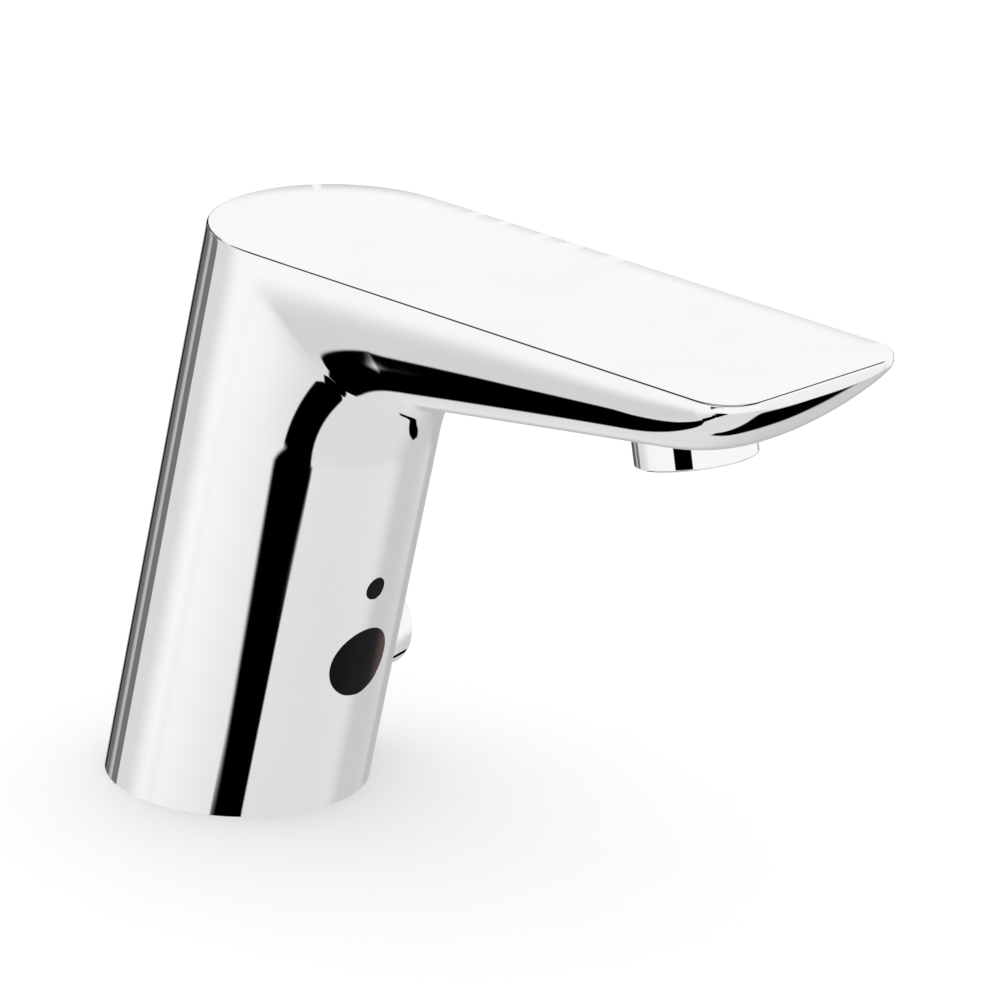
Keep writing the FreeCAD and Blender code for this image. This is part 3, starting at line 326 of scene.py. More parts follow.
def infrared_filter(deep, glow):
    """Polished dark filter; its base colour turns red-brown towards +X, painted light standing in for light
    shining through its lit side.
    """
    painted_light_from, painted_light_to = 0.0008, 0.0088     # across the window, along X
    shader, tree = new_material("infrared_filter")
    place = tree.nodes.new("ShaderNodeTexCoord")
    across = tree.nodes.new("ShaderNodeSeparateXYZ")
    tree.links.new(place.outputs["Object"], across.inputs["Vector"])
    side = tree.nodes.new("ShaderNodeMapRange")
    side.inputs["From Min"].default_value = painted_light_from
    side.inputs["From Max"].default_value = painted_light_to
    tree.links.new(across.outputs["X"], side.inputs["Value"])
    # painted light: the base colour runs from the deep colour to red-brown across X, standing in for light
    # through the lit side
    two_tone(tree, side.outputs["Result"], deep, glow, shader.inputs["Base Color"])
    spread(tree, grain(tree, 90.0), 0.03, 0.06, shader.inputs["Roughness"])
    shader.inputs["IOR"].default_value = 1.49
    shader.inputs["Specular IOR Level"].default_value = 0.07


def solder_mask():
    """Green board with copper lines under its lacquer."""
    shader, tree = new_material("solder_mask")
    place = tree.nodes.new("ShaderNodeTexCoord")
    lines = tree.nodes.new("ShaderNodeTexBrick")
    lines.inputs["Scale"].default_value = 260.0
    lines.inputs["Mortar Size"].default_value = 0.03
    lines.inputs["Color1"].default_value = (0.010, 0.095, 0.035, 1)
    lines.inputs["Color2"].default_value = (0.014, 0.120, 0.045, 1)
    lines.inputs["Mortar"].default_value = (0.045, 0.210, 0.070, 1)
    turn = tree.nodes.new("ShaderNodeMapping")
    turn.inputs["Rotation"].default_value = (math.radians(90), 0, 0)
    tree.links.new(place.outputs["Object"], turn.inputs["Vector"])
    tree.links.new(turn.outputs["Vector"], lines.inputs["Vector"])
    tree.links.new(lines.outputs["Color"], shader.inputs["Base Color"])
    spread(tree, grain(tree, 300.0), 0.25, 0.4, shader.inputs["Roughness"])


def make_finishes(colours):
    """Makes every material of the tap."""
    chrome_plate(tuple(colours.chrome))
    machined_metal("turned_brass", (0.72, 0.50, 0.24), 0.28)
    machined_metal("stainless_steel", (0.60, 0.60, 0.61), 0.25)
    rubber_skin((0.018, 0.018, 0.018))
    moulded_plastic("white_moulding", (0.78, 0.79, 0.78), 0.42)
    moulded_plastic("black_moulding", (0.018, 0.018, 0.020), 0.45)
    moulded_plastic("red_moulding", (0.42, 0.025, 0.018), 0.22)
    moulded_plastic("blue_moulding", (0.020, 0.070, 0.36), 0.22)
    infrared_filter(tuple(colours.window), tuple(colours.window_painted_light))
    moulded_plastic("battery_sleeve", (0.055, 0.085, 0.13), 0.2)
    solder_mask()
    moulded_plastic("clear_diode_resin", (0.58, 0.62, 0.70), 0.08)
    moulded_plastic("dark_diode_resin", (0.012, 0.012, 0.020), 0.08)


# the material of each of the record's slots
SLOT_MATERIALS = {
    "chrome": "chrome_plate",
    "brass": "turned_brass",
    "steel": "stainless_steel",
    "rubber": "black_rubber",
    "white_plastic": "white_moulding",
    "black_plastic": "black_moulding",
    "red_plastic": "red_moulding",
    "blue_plastic": "blue_moulding",
    "dark_window": "infrared_filter",
    "battery_sleeve": "battery_sleeve",
    "circuit_board": "solder_mask",
    "clear_diode": "clear_diode_resin",
    "dark_diode": "dark_diode_resin",
}


def finish_for(slot):
    """The material of a slot; the first call makes them all."""
    if SLOT_MATERIALS[slot] not in bpy.data.materials:
        make_finishes(bpy.context.scene.tap_finish)
    return bpy.data.materials[SLOT_MATERIALS[slot]]


# ------------------------------------------------------------------ modelling helpers

def column_frame(sizes):
    """The leaning column's own frame: Z along the column, from the middle of the foot."""
    return Matrix.Rotation(sizes.lean, 4, "X")


def outlet_frame(sizes):
    """The outlet's own frame: Z up its axis, from the ring's lip."""
    lip = Vector((0, -sizes.outlet_reach, sizes.outlet_height))
    return Matrix.Translation(lip) @ Matrix.Rotation(-sizes.outlet_tilt, 4, "X")


def clear_selection():
    """Leaves edit mode and deselects everything."""
    if bpy.context.object and bpy.context.object.mode != "OBJECT":
        bpy.ops.object.mode_set(mode="OBJECT")
    bpy.ops.object.select_all(action="DESELECT")


def hold(piece):
    """Selects one object and makes it the active one."""
    clear_selection()
    piece.select_set(True)
    bpy.context.view_layer.objects.active = piece


def settle(piece, place=None):
    """Puts the piece's place into its mesh, so that its object sits at the origin."""
    if place is not None:
        piece.data.transform(place @ piece.matrix_basis)
    else:
        piece.data.transform(piece.matrix_basis)
    piece.matrix_basis = Matrix.Identity(4)


def add_rod(name, radius, low, high, place, turn=(0, 0), at=(0, 0, 0), sides=96):
    """A rod along its own Z from low to high, turned about X and Y, moved to at and stood in a frame."""
    clear_selection()
    bpy.ops.mesh.primitive_cylinder_add(vertices=sides, radius=radius, depth=high - low,
                                        location=(0, 0, (low + high) / 2))
    rod = bpy.context.object
    rod.name = name
    settle(rod)
    from_own = Matrix.Translation(at) @ Matrix.Rotation(turn[0], 4, "X") @ Matrix.Rotation(turn[1], 4, "Y")
    rod.data.transform(place @ from_own)
    return rod


def apply_modifier(piece, kind, **settings):
    """Gives a piece a modifier of a kind and applies it."""
    hold(piece)
    modifier = piece.modifiers.new(kind.lower(), kind)
    for key, value in settings.items():
        setattr(modifier, key, value)
    bpy.ops.object.modifier_apply(modifier=modifier.name)


def cut_with(piece, tool, operation="DIFFERENCE"):
    """Cuts a piece with a tool, which is then removed."""
    apply_modifier(piece, "BOOLEAN", operation=operation, solver="EXACT", object=tool)
    bpy.data.objects.remove(tool)


def select_faces(piece, test):
    """In edit mode, selects the faces that pass a test of their centre and normal."""
    mesh = bmesh.from_edit_mesh(piece.data)
    for face in mesh.faces:
        face.select = test(face.calc_center_median(), face.normal)
    mesh.select_flush_mode()
    bmesh.update_edit_mesh(piece.data)


def select_edges(piece, test):
    """In edit mode, selects the edges that pass a test of the edge."""
    bpy.ops.mesh.select_mode(type="EDGE")
    bpy.ops.mesh.select_all(action="DESELECT")
    mesh = bmesh.from_edit_mesh(piece.data)
    for edge in mesh.edges:
        edge.select = test(edge)
    bmesh.update_edit_mesh(piece.data)


def give_finish(piece, slot):
    """Gives a piece its slot's material and keeps it out of the chrome, which mirrors the studio only."""
    piece.data.materials.clear()
    piece.data.materials.append(finish_for(slot))
    piece.visible_glossy = False


def finish_piece(piece, node, body, slot):
    """Gives a finished piece its slot's material, hides the node that it stands for and hangs the piece on
    its body.
    """
    give_finish(piece, slot)
    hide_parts(node)
    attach(piece, body)


# ------------------------------------------------------------------ the body's form

def column_row(sizes, along):
    """A section of the column, at a distance up its axis."""
    radius = sizes.column_radius
    y, z = -along * math.sin(sizes.lean), along * math.cos(sizes.lean)
    return y, z, sizes.lean, radius, radius, radius, ROUND


def body_rows(sizes):
    """Sections of the body from below the foot to the tip.

    Each is the centre's y and z, the plane's tilt, the half width, the depths to the inner and the
    outer side and the fullness of the inner side.
    """
    radius, lean, corner = sizes.column_radius, sizes.lean, sizes.corner_radius
    level = sizes.top_height - sizes.flank_drop
    soften = 0.0018             # softness of the turn from the column's axis to the top
    oversize = 0.060            # upper half of a section, cut off by the flat top
    upright_after = 0.030       # length over which the planes come upright
    past_foot = 1.2             # how far the column starts below its foot, where 1 only just clears it
    rows = []
    below = -past_foot * radius * math.tan(lean)
    above = sizes.corner_height / math.cos(lean) + radius * math.tan(lean)
    for k in range(COLUMN_ROWS + 1):
        rows.append(column_row(sizes, below + (above - below) * k / COLUMN_ROWS))
    pivot_y = -radius / math.cos(lean) - sizes.corner_height * math.tan(lean) - corner * math.cos(lean)
    pivot_z = sizes.corner_height - corner * math.sin(lean)
    last = math.pi / 2 - sizes.underside_rise
    for k in range(1, BEND_ROWS + 1):
        q = k / BEND_ROWS
        tilt = lean + (last - lean) * q
        to_axis = (corner + radius) / math.cos(tilt - lean)
        to_level = (level - pivot_z) / math.sin(tilt)
        centre = -soften * math.log(math.exp(-to_axis / soften) + math.exp(-to_level / soften))
        half = radius + (sizes.half_root - radius) * q
        outer = min(radius / math.cos(tilt - lean), oversize)
        rows.append((pivot_y + centre * math.cos(tilt), pivot_z + centre * math.sin(tilt), tilt, half,
                     centre - corner, outer, ROUND + (SPOUT_ROUND - ROUND) * q))
    start = -(pivot_y + corner * math.cos(last))
    start_height = pivot_z + corner * math.sin(last)
    for along, height in underside(sizes, start, start_height):
        tilt = last + (math.pi / 2 - last) * min((along - start) / upright_after, 1)
        drop = sizes.flank_drop
        if along > sizes.bow_start:
            fade = (along - sizes.bow_start) / (sizes.reach - sizes.bow_start)
            drop += (sizes.tip_thickness / 2 - drop) * fade
        depth = (sizes.top_height - drop - height) / math.sin(tilt)
        half = sizes.half_root + (sizes.half_tip - sizes.half_root) * (along - start) / (sizes.reach - start)
        over = along - (sizes.reach - sizes.front_corner)
        if over > 0:
            half += math.sqrt(max(sizes.front_corner ** 2 - over ** 2, 0)) - sizes.front_corner
        rows.append((-along + depth * math.cos(tilt), height + depth * math.sin(tilt), tilt, half, depth,
                     oversize, SPOUT_ROUND))
    return rows


def underside(sizes, start, start_height):
    """Stations along the spout's underside: a straight rise, then the bow's parabola."""
    slope, steep = math.tan(sizes.underside_rise), math.tan(sizes.bow_angle)
    bow, tip = sizes.bow_start, sizes.reach
    tip_height = sizes.top_height - sizes.tip_thickness
    bow_height = start_height + (bow - start) * slope
    bend = (tip_height - tip * steep - bow_height + bow * slope) / (slope - steep)
    bend_height = bow_height + (bend - bow) * slope
    stations = []
    for k in range(1, SPOUT_ROWS + 1):
        q = k / SPOUT_ROWS
        stations.append((start + (bow - start) * q, start_height + (bow_height - start_height) * q))
    for k in range(1, BOW_ROWS + 1):
        q = math.sin(k / BOW_ROWS * math.pi / 2)    # closer together where the front corners turn
        stations.append(((1 - q) ** 2 * bow + 2 * q * (1 - q) * bend + q * q * tip,
                         (1 - q) ** 2 * bow_height + 2 * q * (1 - q) * bend_height + q * q * tip_height))
    return stations


def quarter(t, fullness):
    """A point on a quarter of a section, from its flank to its middle."""
    s = 1 - t
    return (s ** 3 + 3 * s * s * t + 3 * s * t * t * fullness,
            3 * s * s * t * fullness + 3 * s * t * t + t ** 3)


def section_point(row, turn):
    """The point of a section at a turn of 0 to 4 quarters from the +X flank over the outer side."""
    y, z, tilt, half, inner, outer, fullness = row
    q = int(turn) % 4
    t = turn - int(turn)
    if q in (1, 3):
        t = 1 - t
    across, deep = quarter(t, ROUND if q < 2 else fullness)
    across *= half if q in (0, 3) else -half
    deep *= outer if q < 2 else -inner
    return Vector((across, y + deep * math.cos(tilt), z + deep * math.sin(tilt)))


def model_form(sizes):
    """The body's closed outer form, with a flat top and a rounded rim."""
    rows = body_rows(sizes)
    clear_selection()
    bpy.ops.mesh.primitive_grid_add(x_subdivisions=AROUND, y_subdivisions=len(rows) - 1, size=2)
    form = bpy.context.object
    form.name = "body_form"
    for vertex in form.data.vertices:
        row = rows[round((vertex.co.y + 1) / 2 * (len(rows) - 1))]
        column = round((vertex.co.x + 1) / 2 * AROUND) % AROUND
        vertex.co = section_point(row, 4 * column / AROUND)
    up_column = Vector((0, -math.tan(sizes.lean), 1))
    for vertex in form.data.vertices:       # points beside a cut go onto it, so it leaves no slivers
        for level in (0, sizes.top_height):
            if abs(vertex.co.z - level) < BESIDE_CUT:
                vertex.co += up_column * (level - vertex.co.z)
    hold(form)
    bpy.ops.object.mode_set(mode="EDIT")
    bpy.ops.mesh.select_all(action="SELECT")
    bpy.ops.mesh.remove_doubles(threshold=MERGE)
    bpy.ops.mesh.fill_holes(sides=0)
    bpy.ops.mesh.select_all(action="SELECT")
    bpy.ops.mesh.bisect(plane_co=(0, 0, 0), plane_no=(0, 0, 1), use_fill=True, clear_inner=True,
                        threshold=MERGE)
    bpy.ops.mesh.select_all(action="SELECT")
    bpy.ops.mesh.bisect(plane_co=(0, 0, sizes.top_height), plane_no=(0, 0, 1), use_fill=True,
                        clear_outer=True, threshold=MERGE)
    bpy.ops.mesh.select_all(action="SELECT")
    bpy.ops.mesh.normals_make_consistent(inside=False)
    top = sizes.top_height - MERGE
    select_edges(form, lambda edge: all(v.co.z > top for v in edge.verts)
                 and any(abs(face.normal.z) < LEVEL_FACE for face in edge.link_faces))
    bpy.ops.mesh.bevel(offset=sizes.rim_round, segments=5, profile=0.5, affect="EDGES",
                       clamp_overlap=True)
    bpy.ops.mesh.select_mode(type="FACE")
    select_faces(form, lambda centre, normal: centre.z > top and normal.z > LEVEL_FACE)
    bpy.ops.mesh.inset(thickness=sizes.crown_width, depth=0)
    hold(form)
    bpy.ops.object.shade_smooth_by_angle(angle=BODY_EDGE)
    apply_modifier(form, "WEIGHTED_NORMAL", weight=60, keep_sharp=True)
    roll_off_top(form, sizes)
    return form


def roll_off_top(form, sizes):
    """Tilts the flat top's normals outward at its edge, so that it shades as if it rolled off a little."""
    mesh = form.data
    outward = {}
    for face in mesh.polygons:
        if face.normal.z < LEVEL_FACE:
            for index in face.vertices:
                if mesh.vertices[index].co.z > sizes.top_height - MERGE:
                    outward[index] = outward.get(index, Vector()) + Vector((*face.normal.xy, 0))
    normals = [corner.vector.copy() for corner in mesh.corner_normals]
    for face in mesh.polygons:
        if face.normal.z > LEVEL_FACE:
            for corner, index in zip(face.loop_indices, face.vertices):
                if index in outward:
                    tilt = outward[index].normalized() * math.sin(sizes.crown)
                    normals[corner] = tilt + Vector((0, 0, math.cos(sizes.crown)))
    mesh.normals_split_custom_set(normals)


def body_tools(sizes):
    """The tools that cut the cavity, the windows, the knob's pocket and the outlet."""
    column, outlet = column_frame(sizes), outlet_frame(sizes)
    radius = sizes.column_radius
    outside = 2 * radius
    knob_back = KNOB_LOW.x - sizes.pocket_gap
    knob_centre = (0, 0, sizes.mix_height)
    tools = [add_rod("cavity", radius - sizes.wall, -radius, CAVITY_TOP, column)]
    for height, hole in ((sizes.eye_height, sizes.eye_radius), (sizes.lamp_height, sizes.lamp_radius)):
        tools.append(add_rod("window_hole", hole, sizes.eye_radius, outside, column, FORWARD, (0, 0, height)))
    tools.append(add_rod("knob_pocket", sizes.knob_radius + sizes.pocket_gap, knob_back, outside, column,
                         SIDEWAYS, knob_centre))
    tools.append(add_rod("stem_hole", STEM_HOLE_RADIUS, STEM_HOLE_INNER, outside, column, SIDEWAYS,
                         knob_centre, sides=48))
    tools.append(add_rod("ring_pocket", sizes.ring_radius + sizes.pocket_gap, RING_POCKET_LOW, RING_TOP,
                         outlet))
    tools.append(add_rod("collar_bore", COLLAR_BORE_RADIUS, -PAST_FACE, COLLAR_BORE_TOP, outlet))
    tools.append(add_rod("outlet_chamber", CHAMBER_RADIUS, -PAST_FACE, CHAMBER_TOP, outlet, sides=64))
    tools.append(add_rod("tube_hole", TUBE_HOLE_RADIUS, TUBE_HOLE_NEAR, TUBE_HOLE_FAR,
                         Matrix.Translation((0, 0, TUBE_HOLE_HEIGHT)), FORWARD, sides=48))
    return tools


def smooth_over_cuts(piece, form):
    """Outer faces take their shading from the uncut form, and the cut walls keep their own."""
    reach = 0.00004             # faces further from the form belong to a cut
    same_way = 0.7              # and so do faces that point another way
    hold(form)
    bpy.ops.object.mode_set(mode="EDIT")
    bpy.ops.mesh.select_mode(type="FACE")
    select_faces(form, lambda centre, normal: normal.z < -LEVEL_FACE and centre.z < MERGE)
    bpy.ops.mesh.delete(type="FACE")        # so that the foot's edge takes nothing from below
    bpy.ops.object.mode_set(mode="OBJECT")
    apply_modifier(piece, "DATA_TRANSFER", object=form, use_loop_data=True,
                   data_types_loops={"CUSTOM_NORMAL"}, loop_mapping="POLYINTERP_NEAREST")
    mesh = piece.data
    normals = [corner.vector.copy() for corner in mesh.corner_normals]
    for face in mesh.polygons:
        place, normal = form.closest_point_on_mesh(face.center)[1:3]
        if (place - face.center).length > reach or normal.dot(face.normal) < same_way:
            for corner in face.loop_indices:
                normals[corner] = face.normal
    mesh.normals_split_custom_set(normals)


class TAP_OT_body(bpy.types.Operator):
    """Model the chrome body: a leaning column that flows into a flat-topped spout"""
    bl_idname = "tap.body"
    bl_label = "Chrome body"

    def execute(self, context):
        sizes = context.scene.tap_sizes
        form = model_form(sizes)
        body = form.copy()
        body.data = form.data.copy()
        body.name = "chrome_body"
        context.collection.objects.link(body)
        for tool in body_tools(sizes):
            cut_with(body, tool)
        smooth_over_cuts(body, form)
        bpy.data.objects.remove(form)
        finish_piece(body, "body_casting", "tap_body", "chrome")
        return {"FINISHED"}


class TAP_OT_windows(bpy.types.Operator):
    """Model the two dark windows, each flush with the column's round front"""
    bl_idname = "tap.windows"
    bl_label = "Windows"

    def execute(self, context):
        sizes = context.scene.tap_sizes
        column = column_frame(sizes)
        windows = (("eye_window", "sensor_window", sizes.eye_height, sizes.eye_radius),
                   ("lamp_window", "indicator_window", sizes.lamp_height, sizes.lamp_radius))
        for name, node, height, radius in windows:
            lens = add_rod(name, radius - sizes.window_gap, sizes.lens_inner, 2 * sizes.column_radius,
                           column, FORWARD, (0, 0, height), sides=128)
            skin = add_rod("column_skin", sizes.column_radius, 0, sizes.top_height, column, sides=360)
            cut_with(lens, skin, "INTERSECT")
            hold(lens)
            bpy.ops.object.shade_smooth_by_angle(angle=TURNED_EDGE)
            finish_piece(lens, node, "tap_body", "dark_window")
        return {"FINISHED"}


class TAP_OT_knob(bpy.types.Operator):
    """Model the round mixing knob on the column's side"""
    bl_idname = "tap.knob"
    bl_label = "Mixing knob"

    def execute(self, context):
        sizes = context.scene.tap_sizes
        column = column_frame(sizes)
        centre = (0, 0, sizes.mix_height)
        knob = add_rod("round_knob", sizes.knob_radius, KNOB_LOW.x, KNOB_HIGH.x, column, SIDEWAYS, centre,
                       sides=128)
        hold(knob)
        bpy.ops.object.mode_set(mode="EDIT")
        outer = KNOB_HIGH.x - MERGE
        select_edges(knob, lambda edge: all(v.co.x > outer for v in edge.verts))
        bpy.ops.mesh.bevel(offset=sizes.knob_round, segments=6, profile=0.5, affect="EDGES")
        inner = KNOB_LOW.x + MERGE
        select_edges(knob, lambda edge: all(v.co.x < inner for v in edge.verts))
        bpy.ops.mesh.bevel(offset=sizes.knob_round / 4, segments=2, profile=0.5, affect="EDGES")
        bpy.ops.object.mode_set(mode="OBJECT")
        cut_with(knob, add_rod("stem_bore", STEM_BORE_RADIUS, KNOB_LOW.x - PAST_FACE, KNOB_HIGH.x - KNOB_FACE,
                               column, SIDEWAYS, centre, sides=48))
        middle = (KNOB_LOW.x + KNOB_HIGH.x) / 2
        cut_with(knob, add_rod("grub_hole", GRUB_HOLE_RADIUS, 0, 2 * sizes.knob_radius, column, BACKWARD,
                               (middle, 0, sizes.mix_height), sides=32))
        hold(knob)
        bpy.ops.object.shade_smooth_by_angle(angle=TURNED_EDGE)
        finish_piece(knob, "mixing_knob", "mixing_control", "chrome")
        return {"FINISHED"}


class TAP_OT_outlet_ring(bpy.types.Operator):
    """Spin the chrome ring that holds the water outlet"""
    bl_idname = "tap.outlet_ring"
    bl_label = "Outlet ring"

    def execute(self, context):
        sizes = context.scene.tap_sizes
        outer, collar, bore, lip = sizes.ring_radius, RING_COLLAR, RING_BORE, RING_LIP
        lip_edge, edge, edge_middle = 0.0002, RING_EDGE, 0.3 * RING_EDGE
        profile = ((lip, lip_edge), (lip + lip_edge, 0), (outer - edge, 0),
                   (outer - edge_middle, edge_middle), (outer, edge), (outer, RING_TOP), (collar, RING_TOP),
                   (collar, RING_COLLAR_TOP), (bore, RING_COLLAR_TOP), (bore, RING_LIP_TOP),
                   (lip, RING_LIP_TOP))
        clear_selection()
        bpy.ops.mesh.primitive_circle_add(vertices=len(profile), radius=outer)
        ring = bpy.context.object
        ring.name = "outlet_ring"
        for vertex, (radius, height) in zip(ring.data.vertices, profile):
            vertex.co = (radius, 0, height)
        bpy.ops.object.mode_set(mode="EDIT")
        bpy.ops.mesh.select_all(action="SELECT")
        bpy.ops.mesh.spin(steps=128, angle=2 * math.pi, center=(0, 0, 0), axis=(0, 0, 1), use_auto_merge=True)
        bpy.ops.mesh.select_all(action="SELECT")
        bpy.ops.mesh.remove_doubles(threshold=MERGE)
        bpy.ops.mesh.normals_make_consistent(inside=False)
        bpy.ops.object.mode_set(mode="OBJECT")
        settle(ring, outlet_frame(sizes))
        hold(ring)
        bpy.ops.object.shade_smooth_by_angle(angle=BODY_EDGE)
        apply_modifier(ring, "WEIGHTED_NORMAL", weight=80, keep_sharp=True)
        finish_piece(ring, "aerator_ring", "tap_body", "chrome")
        return {"FINISHED"}


class TAP_OT_inner_parts(bpy.types.Operator):
    """Give every carried-over piece of the frame its finish"""
    bl_idname = "tap.inner_parts"
    bl_label = "Inner parts"

    def execute(self, context):
        for subpart in frame["record"]["subparts"]:
            give_finish(frame["nodes"][subpart["node"]], subpart["material_slot"])
        return {"FINISHED"}


# ------------------------------------------------------------------ the stage

CAMERA_AZIMUTH = math.radians(-46.87)
CAMERA_ELEVATION = math.radians(19.8682)
CAMERA_ROLL = math.radians(1.8627)
CAMERA_DISTANCE = 1.5
CAMERA_RIGHT = 0.0522608            # how far the view's middle lies to the right of and above the foot
CAMERA_UP = 0.0529811
CAMERA_LENS = 271.62
SENSOR_WIDTH = 36.0                 # millimetres, as the lens
FLOOR_SIZE = 8
WHITE_STUDIO = 1.15                 # light of the studio on everything that isn't glossy
GROUND_GREY = 0.76                  # how bright the chrome sees the ground, next to 1 for the walls
GROUND_BELOW = -0.75                # upright part of the directions where the ground is all grey
WALLS_ABOVE = -0.30                 # and where the walls are all white


def add_camera():
    """The camera at the photograph's angle, looking a little right of and above the foot."""
    a, e, roll = CAMERA_AZIMUTH, CAMERA_ELEVATION, CAMERA_ROLL
    back = Vector((math.sin(a) * math.cos(e), -math.cos(a) * math.cos(e), math.sin(e)))
    level = Vector((math.cos(a), math.sin(a), 0))
    upward = back.cross(level)
    right = level * math.cos(roll) + upward * math.sin(roll)
    up = upward * math.cos(roll) - level * math.sin(roll)
    place = right * CAMERA_RIGHT + up * CAMERA_UP + back * CAMERA_DISTANCE
    clear_selection()
    bpy.ops.object.camera_add()
    camera = bpy.context.object
    camera.name = "photo_view"
    turn = Matrix((right, up, back)).transposed().to_4x4()
    camera.matrix_world = Matrix.Translation(place) @ turn
    camera.data.lens = CAMERA_LENS
    camera.data.sensor_width = SENSOR_WIDTH
    camera.data.clip_end = 20.0
    bpy.context.scene.camera = camera


def add_floor(colour):
    """A wide pale floor that the chrome doesn't mirror."""
    clear_selection()
    bpy.ops.mesh.primitive_plane_add(size=FLOOR_SIZE, location=(0, 0, 0))
    floor = bpy.context.object
    floor.name = "floor"
    shader, tree = new_material("pale_floor")
    two_tone(tree, grain(tree, 0.6, 2.0), shade(colour, 0.995), colour, shader.inputs["Base Color"])
    spread(tree, grain(tree, 40.0), 0.6, 0.75, shader.inputs["Roughness"])
    shader.inputs["Specular IOR Level"].default_value = 0.1
    floor.data.materials.append(bpy.data.materials["pale_floor"])
    floor.visible_glossy = False


# Cards that stand round the tap in the studio and show only in reflections. Each has the
# brightness it leaves, the softness of its edge, and its corners as (azimuth, elevation) in
# degrees, with azimuth 0 along +X and 90 along +Y. A later card covers an earlier one.
STUDIO_CARDS = {
    "pale screen right": (0.62, 0.17, ((-38, -18), (-38, -41), (40, -44), (48, -18))),
    "grey wall right": (0.52, 0.10, ((12, -31), (60, -31), (60, 9), (12, 9))),
    "pale ground behind": (0.68, 0.12, ((110, -36), (140, -25), (134, -52), (110, -52))),
    "pale strip": (0.74, 0.20, ((88, -40), (122, -40), (122, 40), (88, 40))),
    "grey strip": (0.15, 0.010, ((64, -26), (97, -26), (97, 30), (64, 30))),
    "light strip": (0.50, 0.060, ((79, -30), (92, -30), (92, 34), (79, 34))),
    "thin grey strip": (0.18, 0.008, ((86, -26), (96, -26), (96, 30), (86, 30))),
    "black strip": (0.02, 0.010, ((57, -26), (66, -26), (66, 30), (57, 30))),
    "black flag left": (0.0, 0.015, ((-175, -18), (-143, -12), (-143, 3), (-175, -3))),
    "dark ceiling": (0.03, 0.03, ((0, 36), (45, 36), (90, 36), (135, 36), (180, 36), (-135, 36),
                                  (-90, 36), (-45, 36))),
    "pale ceiling": (0.60, 0.05, ((0, 58), (90, 58), (180, 58), (-90, 58))),
    "dark ground left": (0.0, 0.012, ((-170, -29), (-152, -39), (-130, -38), (-131, -31), (-146, -24))),
    "dark ground before": (0.0, 0.012, ((-162, -35), (-173, -43), (-179, -52), (-170, -63), (-158, -59),
                                        (-144, -55), (-132, -46), (-130, -38), (-147, -36))),
    "dark ground behind left": (0.0, 0.012, ((-178, -50), (165, -54), (150, -56), (135, -59), (125, -68),
                                             (-168, -63))),
    "dark ground turn": (0.0, 0.012, ((132, -59), (103, -53), (90, -53), (90, -66), (115, -69),
                                      (132, -68))),
    "dark ground behind": (0.0, 0.012, ((116, -44), (90, -53), (90, -66), (104, -60), (113, -50))),
    "dark ground far": (0.0, 0.012, ((107, -50), (64, -46), (84, -63), (100, -67), (112, -66))),
    "dark ground right": (0.0, 0.012, ((46, -52), (31, -50), (22, -46), (12, -44), (2, -42), (-5, -44),
                                       (0, -50), (20, -56), (38, -58))),
}


def towards(azimuth, elevation):
    """The direction at an azimuth and an elevation in degrees."""
    a, e = math.radians(azimuth), math.radians(elevation)
    return Vector((math.cos(a) * math.cos(e), math.sin(a) * math.cos(e), math.sin(e)))


def card_mask(tree, direction, corners, soft):
    """1 inside a card's corners as seen from the tap and 0 outside, with a soft edge."""
    rays = [towards(*corner) for corner in corners]
    middle = sum(rays, Vector()).normalized()
    mask = None
    for this, following in zip(rays, rays[1:] + rays[:1]):
        edge = this.cross(following).normalized()
        if edge.dot(middle) < 0:
            edge.negate()
        side = tree.nodes.new("ShaderNodeVectorMath")
        side.operation = "DOT_PRODUCT"
        side.inputs[1].default_value = edge
        tree.links.new(direction, side.inputs[0])
        step = tree.nodes.new("ShaderNodeMapRange")
        step.interpolation_type = "SMOOTHSTEP"
        step.inputs["From Min"].default_value = -soft
        step.inputs["From Max"].default_value = soft
        tree.links.new(side.outputs["Value"], step.inputs["Value"])
        if mask is None:
            mask = step.outputs["Result"]
        else:
            both = tree.nodes.new("ShaderNodeMath")
            both.operation = "MULTIPLY"
            tree.links.new(mask, both.inputs[0])
            tree.links.new(step.outputs["Result"], both.inputs[1])
            mask = both.outputs["Value"]
    return mask


def blended(tree, factor, first, second):
    """Mixes two values, each a number or an output, and returns the output."""
    mix = tree.nodes.new("ShaderNodeMix")
    tree.links.new(factor, mix.inputs["Factor"])
    for value, socket in ((first, mix.inputs["A"]), (second, mix.inputs["B"])):
        if isinstance(value, (int, float)):
            socket.default_value = value
        else:
            tree.links.new(value, socket)
    return mix.outputs["Result"]


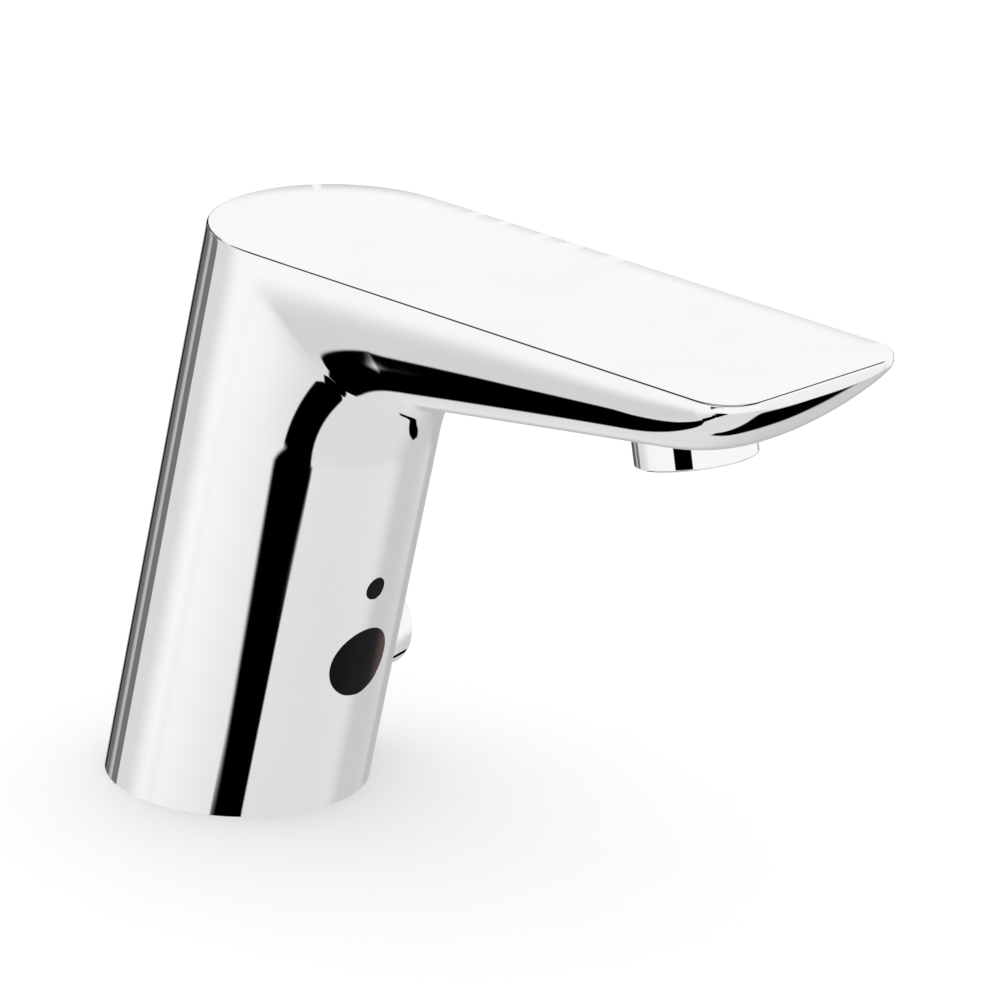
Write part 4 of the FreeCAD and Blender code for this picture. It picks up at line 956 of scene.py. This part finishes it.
def add_studio():
    """An even white studio whose cards show only in glossy surfaces."""
    world = bpy.data.worlds.new("studio")
    bpy.context.scene.world = world
    world.use_nodes = True
    tree = world.node_tree
    place = tree.nodes.new("ShaderNodeTexCoord")
    direction = place.outputs["Generated"]
    apart = tree.nodes.new("ShaderNodeSeparateXYZ")
    tree.links.new(direction, apart.inputs["Vector"])
    walls = tree.nodes.new("ShaderNodeMapRange")
    walls.interpolation_type = "SMOOTHSTEP"
    walls.inputs["From Min"].default_value = GROUND_BELOW
    walls.inputs["From Max"].default_value = WALLS_ABOVE
    walls.inputs["To Min"].default_value = GROUND_GREY
    walls.inputs["To Max"].default_value = 1.0
    tree.links.new(apart.outputs["Z"], walls.inputs["Value"])
    seen = walls.outputs["Result"]
    for brightness, soft, corners in STUDIO_CARDS.values():
        seen = blended(tree, card_mask(tree, direction, corners, soft), seen, brightness)
    rays = tree.nodes.new("ShaderNodeLightPath")
    light = blended(tree, rays.outputs["Is Glossy Ray"], WHITE_STUDIO, seen)
    background = tree.nodes["Background"]
    background.inputs["Color"].default_value = (1, 1, 1, 1)
    tree.links.new(light, background.inputs["Strength"])


class TAP_OT_stage(bpy.types.Operator):
    """Set up the floor, the studio light and the camera at the photograph's angle"""
    bl_idname = "tap.stage"
    bl_label = "Stage"

    def execute(self, context):
        add_floor(tuple(context.scene.tap_finish.floor))
        add_studio()
        add_camera()
        context.scene.view_settings.view_transform = "Standard"
        return {"FINISHED"}


class TAP_PT_panel(bpy.types.Panel):
    """Lists the tap's pieces and sizes"""
    bl_idname = "TAP_PT_panel"
    bl_label = "Basin tap"
    bl_space_type = "VIEW_3D"
    bl_region_type = "UI"
    bl_category = "Tap"

    def draw(self, context):
        layout = self.layout
        for operator in STEPS:
            layout.operator(operator.bl_idname)
        for group in (context.scene.tap_sizes, context.scene.tap_finish):
            for name in group.__annotations__:
                layout.prop(group, name)


STEPS = (TAP_OT_stage, TAP_OT_inner_parts, TAP_OT_body, TAP_OT_windows, TAP_OT_knob, TAP_OT_outlet_ring)
CLASSES = (TapSizes, TapFinish, *STEPS, TAP_PT_panel)


def register():
    for one in CLASSES:
        bpy.utils.register_class(one)
    bpy.types.Scene.tap_sizes = PointerProperty(type=TapSizes)
    bpy.types.Scene.tap_finish = PointerProperty(type=TapFinish)


def unregister():
    del bpy.types.Scene.tap_finish
    del bpy.types.Scene.tap_sizes
    for one in reversed(CLASSES):
        bpy.utils.unregister_class(one)


def main():
    """Builds the tap and its stage."""
    register()
    bpy.ops.tap.stage()
    bpy.ops.tap.inner_parts()
    bpy.ops.tap.body()
    bpy.ops.tap.windows()
    bpy.ops.tap.knob()
    bpy.ops.tap.outlet_ring()


if __name__ == "__main__":
    main()
